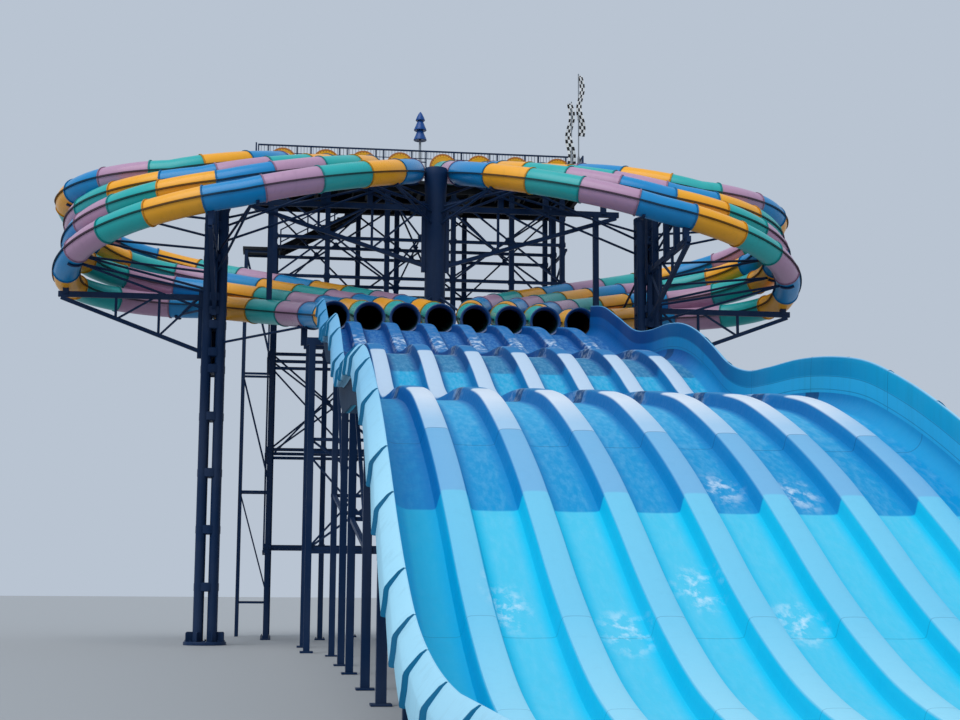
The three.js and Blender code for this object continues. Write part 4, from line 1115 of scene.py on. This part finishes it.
def pennant_shape(x, y, low, high, lean, width):
    """A cloth strip that snakes about its pole: its middle follows a sine of one and a half
    waves, its width falls by a third, and a finer wave sets it fore and aft. Its UV counts
    squares."""
    rows, columns = 70, 13
    u, v = np.meshgrid(np.linspace(0, 1, rows), np.linspace(-1, 1, columns), indexing="ij")
    px = x + lean + 0.075 * np.sin(3 * PI * u + 0.4) + width * (1 - 0.35 * u) * v
    sway = 0.05 * np.sin(2 * PI * (1.7 * u + 0.22 * v)) * (0.4 + 0.6 * np.abs(v))
    pz = low + (high - low) * u
    faces = [joined(px, y + sway + thick, pz).reshape(-1, 3) for thick in (-0.006, 0.006)]
    face = grid_tris(rows, columns, close_columns=False)
    size = rows * columns
    index = np.arange(size).reshape(rows, columns)
    rim = np.r_[index[0], index[1:, -1], index[-1, -2::-1], index[-2:0:-1, 0]]
    beside = np.roll(rim, -1)
    edge = quads_to_tris(joined(beside, rim, rim + size, beside + size))
    tris = np.vstack([face, (face + size)[:, ::-1], edge])
    uv = joined((v + 1) * 1.5, (high - low) * u / 0.15).reshape(-1, 2)
    return (np.vstack(faces), tris), np.vstack([uv, uv])


for side, (x, y, pole_top, *cloth) in PENNANTS.items():
    shape, uv = pennant_shape(x, y, *cloth)
    piece(f"{side}_pennant_cloth", shape, CHECKER, [f"{side}_pennant"], uv=uv)
    base = DECK_TOP + GAP
    top = pole_top - base
    mast = turned([(0.05, 0), (0.05, 1.35), (0.026, 1.45), (0.022, top - 0.05), (0.03, top - 0.04),
                   (0.01, top)], x, y, base, 14)
    piece(f"{side}_pennant_pole", mast, SILVER)

# Finishes of the CAD nodes that stay
for name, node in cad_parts.items():
    finish = DECKING if name in ("platform_deck", "stair_landing") else NAVY
    # Painted shade: the beams under the deck and the stair flight take the darkened navy
    if name in ("platform_beams", "stair_flight"):
        finish = SHADED_NAVY
    for slot in node.material_slots:
        slot.material = finish
    if not node.material_slots:
        node.data.materials.append(finish)

# Stage, lights and camera
bpy.ops.mesh.primitive_plane_add(size=400, location=(0, 0, -0.002))
ground = bpy.context.object
ground.name = "pale_floor"
pale = bpy.data.materials.new("pale floor")
pale.use_nodes = True
Tree(pale.node_tree).fill(pale.node_tree.nodes["Principled BSDF"],
                          {"Base Color": "a3a6a8", "Roughness": 0.8})
ground.data.materials.append(pale)

world = bpy.data.worlds.new("studio")
scene.world = world
world.use_nodes = True
Tree(world.node_tree).fill(world.node_tree.nodes["Background"], {0: "b9c4d2", 1: 1.0})
scene.view_settings.view_transform = "Standard"


def set_up(name, data, side, up, back, place):
    """An object for a light or a camera, turned by its own three axes and moved to a place."""
    made = bpy.data.objects.new(name, data)
    scene.collection.objects.link(made)
    made.matrix_world = Matrix(joined(side, up, back, place).tolist() + [[0, 0, 0, 1]])
    return made


# One wide, soft distant light from overhead, a little left and in front
sun = bpy.data.lights.new("overhead", "SUN")
sun.energy, sun.angle = 1.7, np.radians(50)
back = np.array([-0.4, -0.5, 1.0]) / norm([-0.4, -0.5, 1.0])
side = np.cross([0, 1.0, 0], back)
side /= norm(side)
set_up("overhead", sun, side, np.cross(back, side), back, np.array([0, 0, 40]))

# The camera fitted to the photo: its eye, its axes, and its focal length in pixels
EYE = np.array([-5.9003, -50.5796, 1.9080]) * HALF
AHEAD = np.array([0.12844, 0.98152, 0.14187])
RIGHT = np.array([0.99141, -0.13062, 0.00615])
UP = np.array([-0.02457, -0.13986, 0.98987])
FOCAL, PICTURE_WIDTH = 1615.0, 960.0
lens = bpy.data.cameras.new("photo camera")
lens.sensor_width, lens.clip_end = 36.0, 400
lens.lens = 36.0 * FOCAL / PICTURE_WIDTH
scene.camera = set_up("photo camera", lens, RIGHT, UP, -AHEAD, EYE)
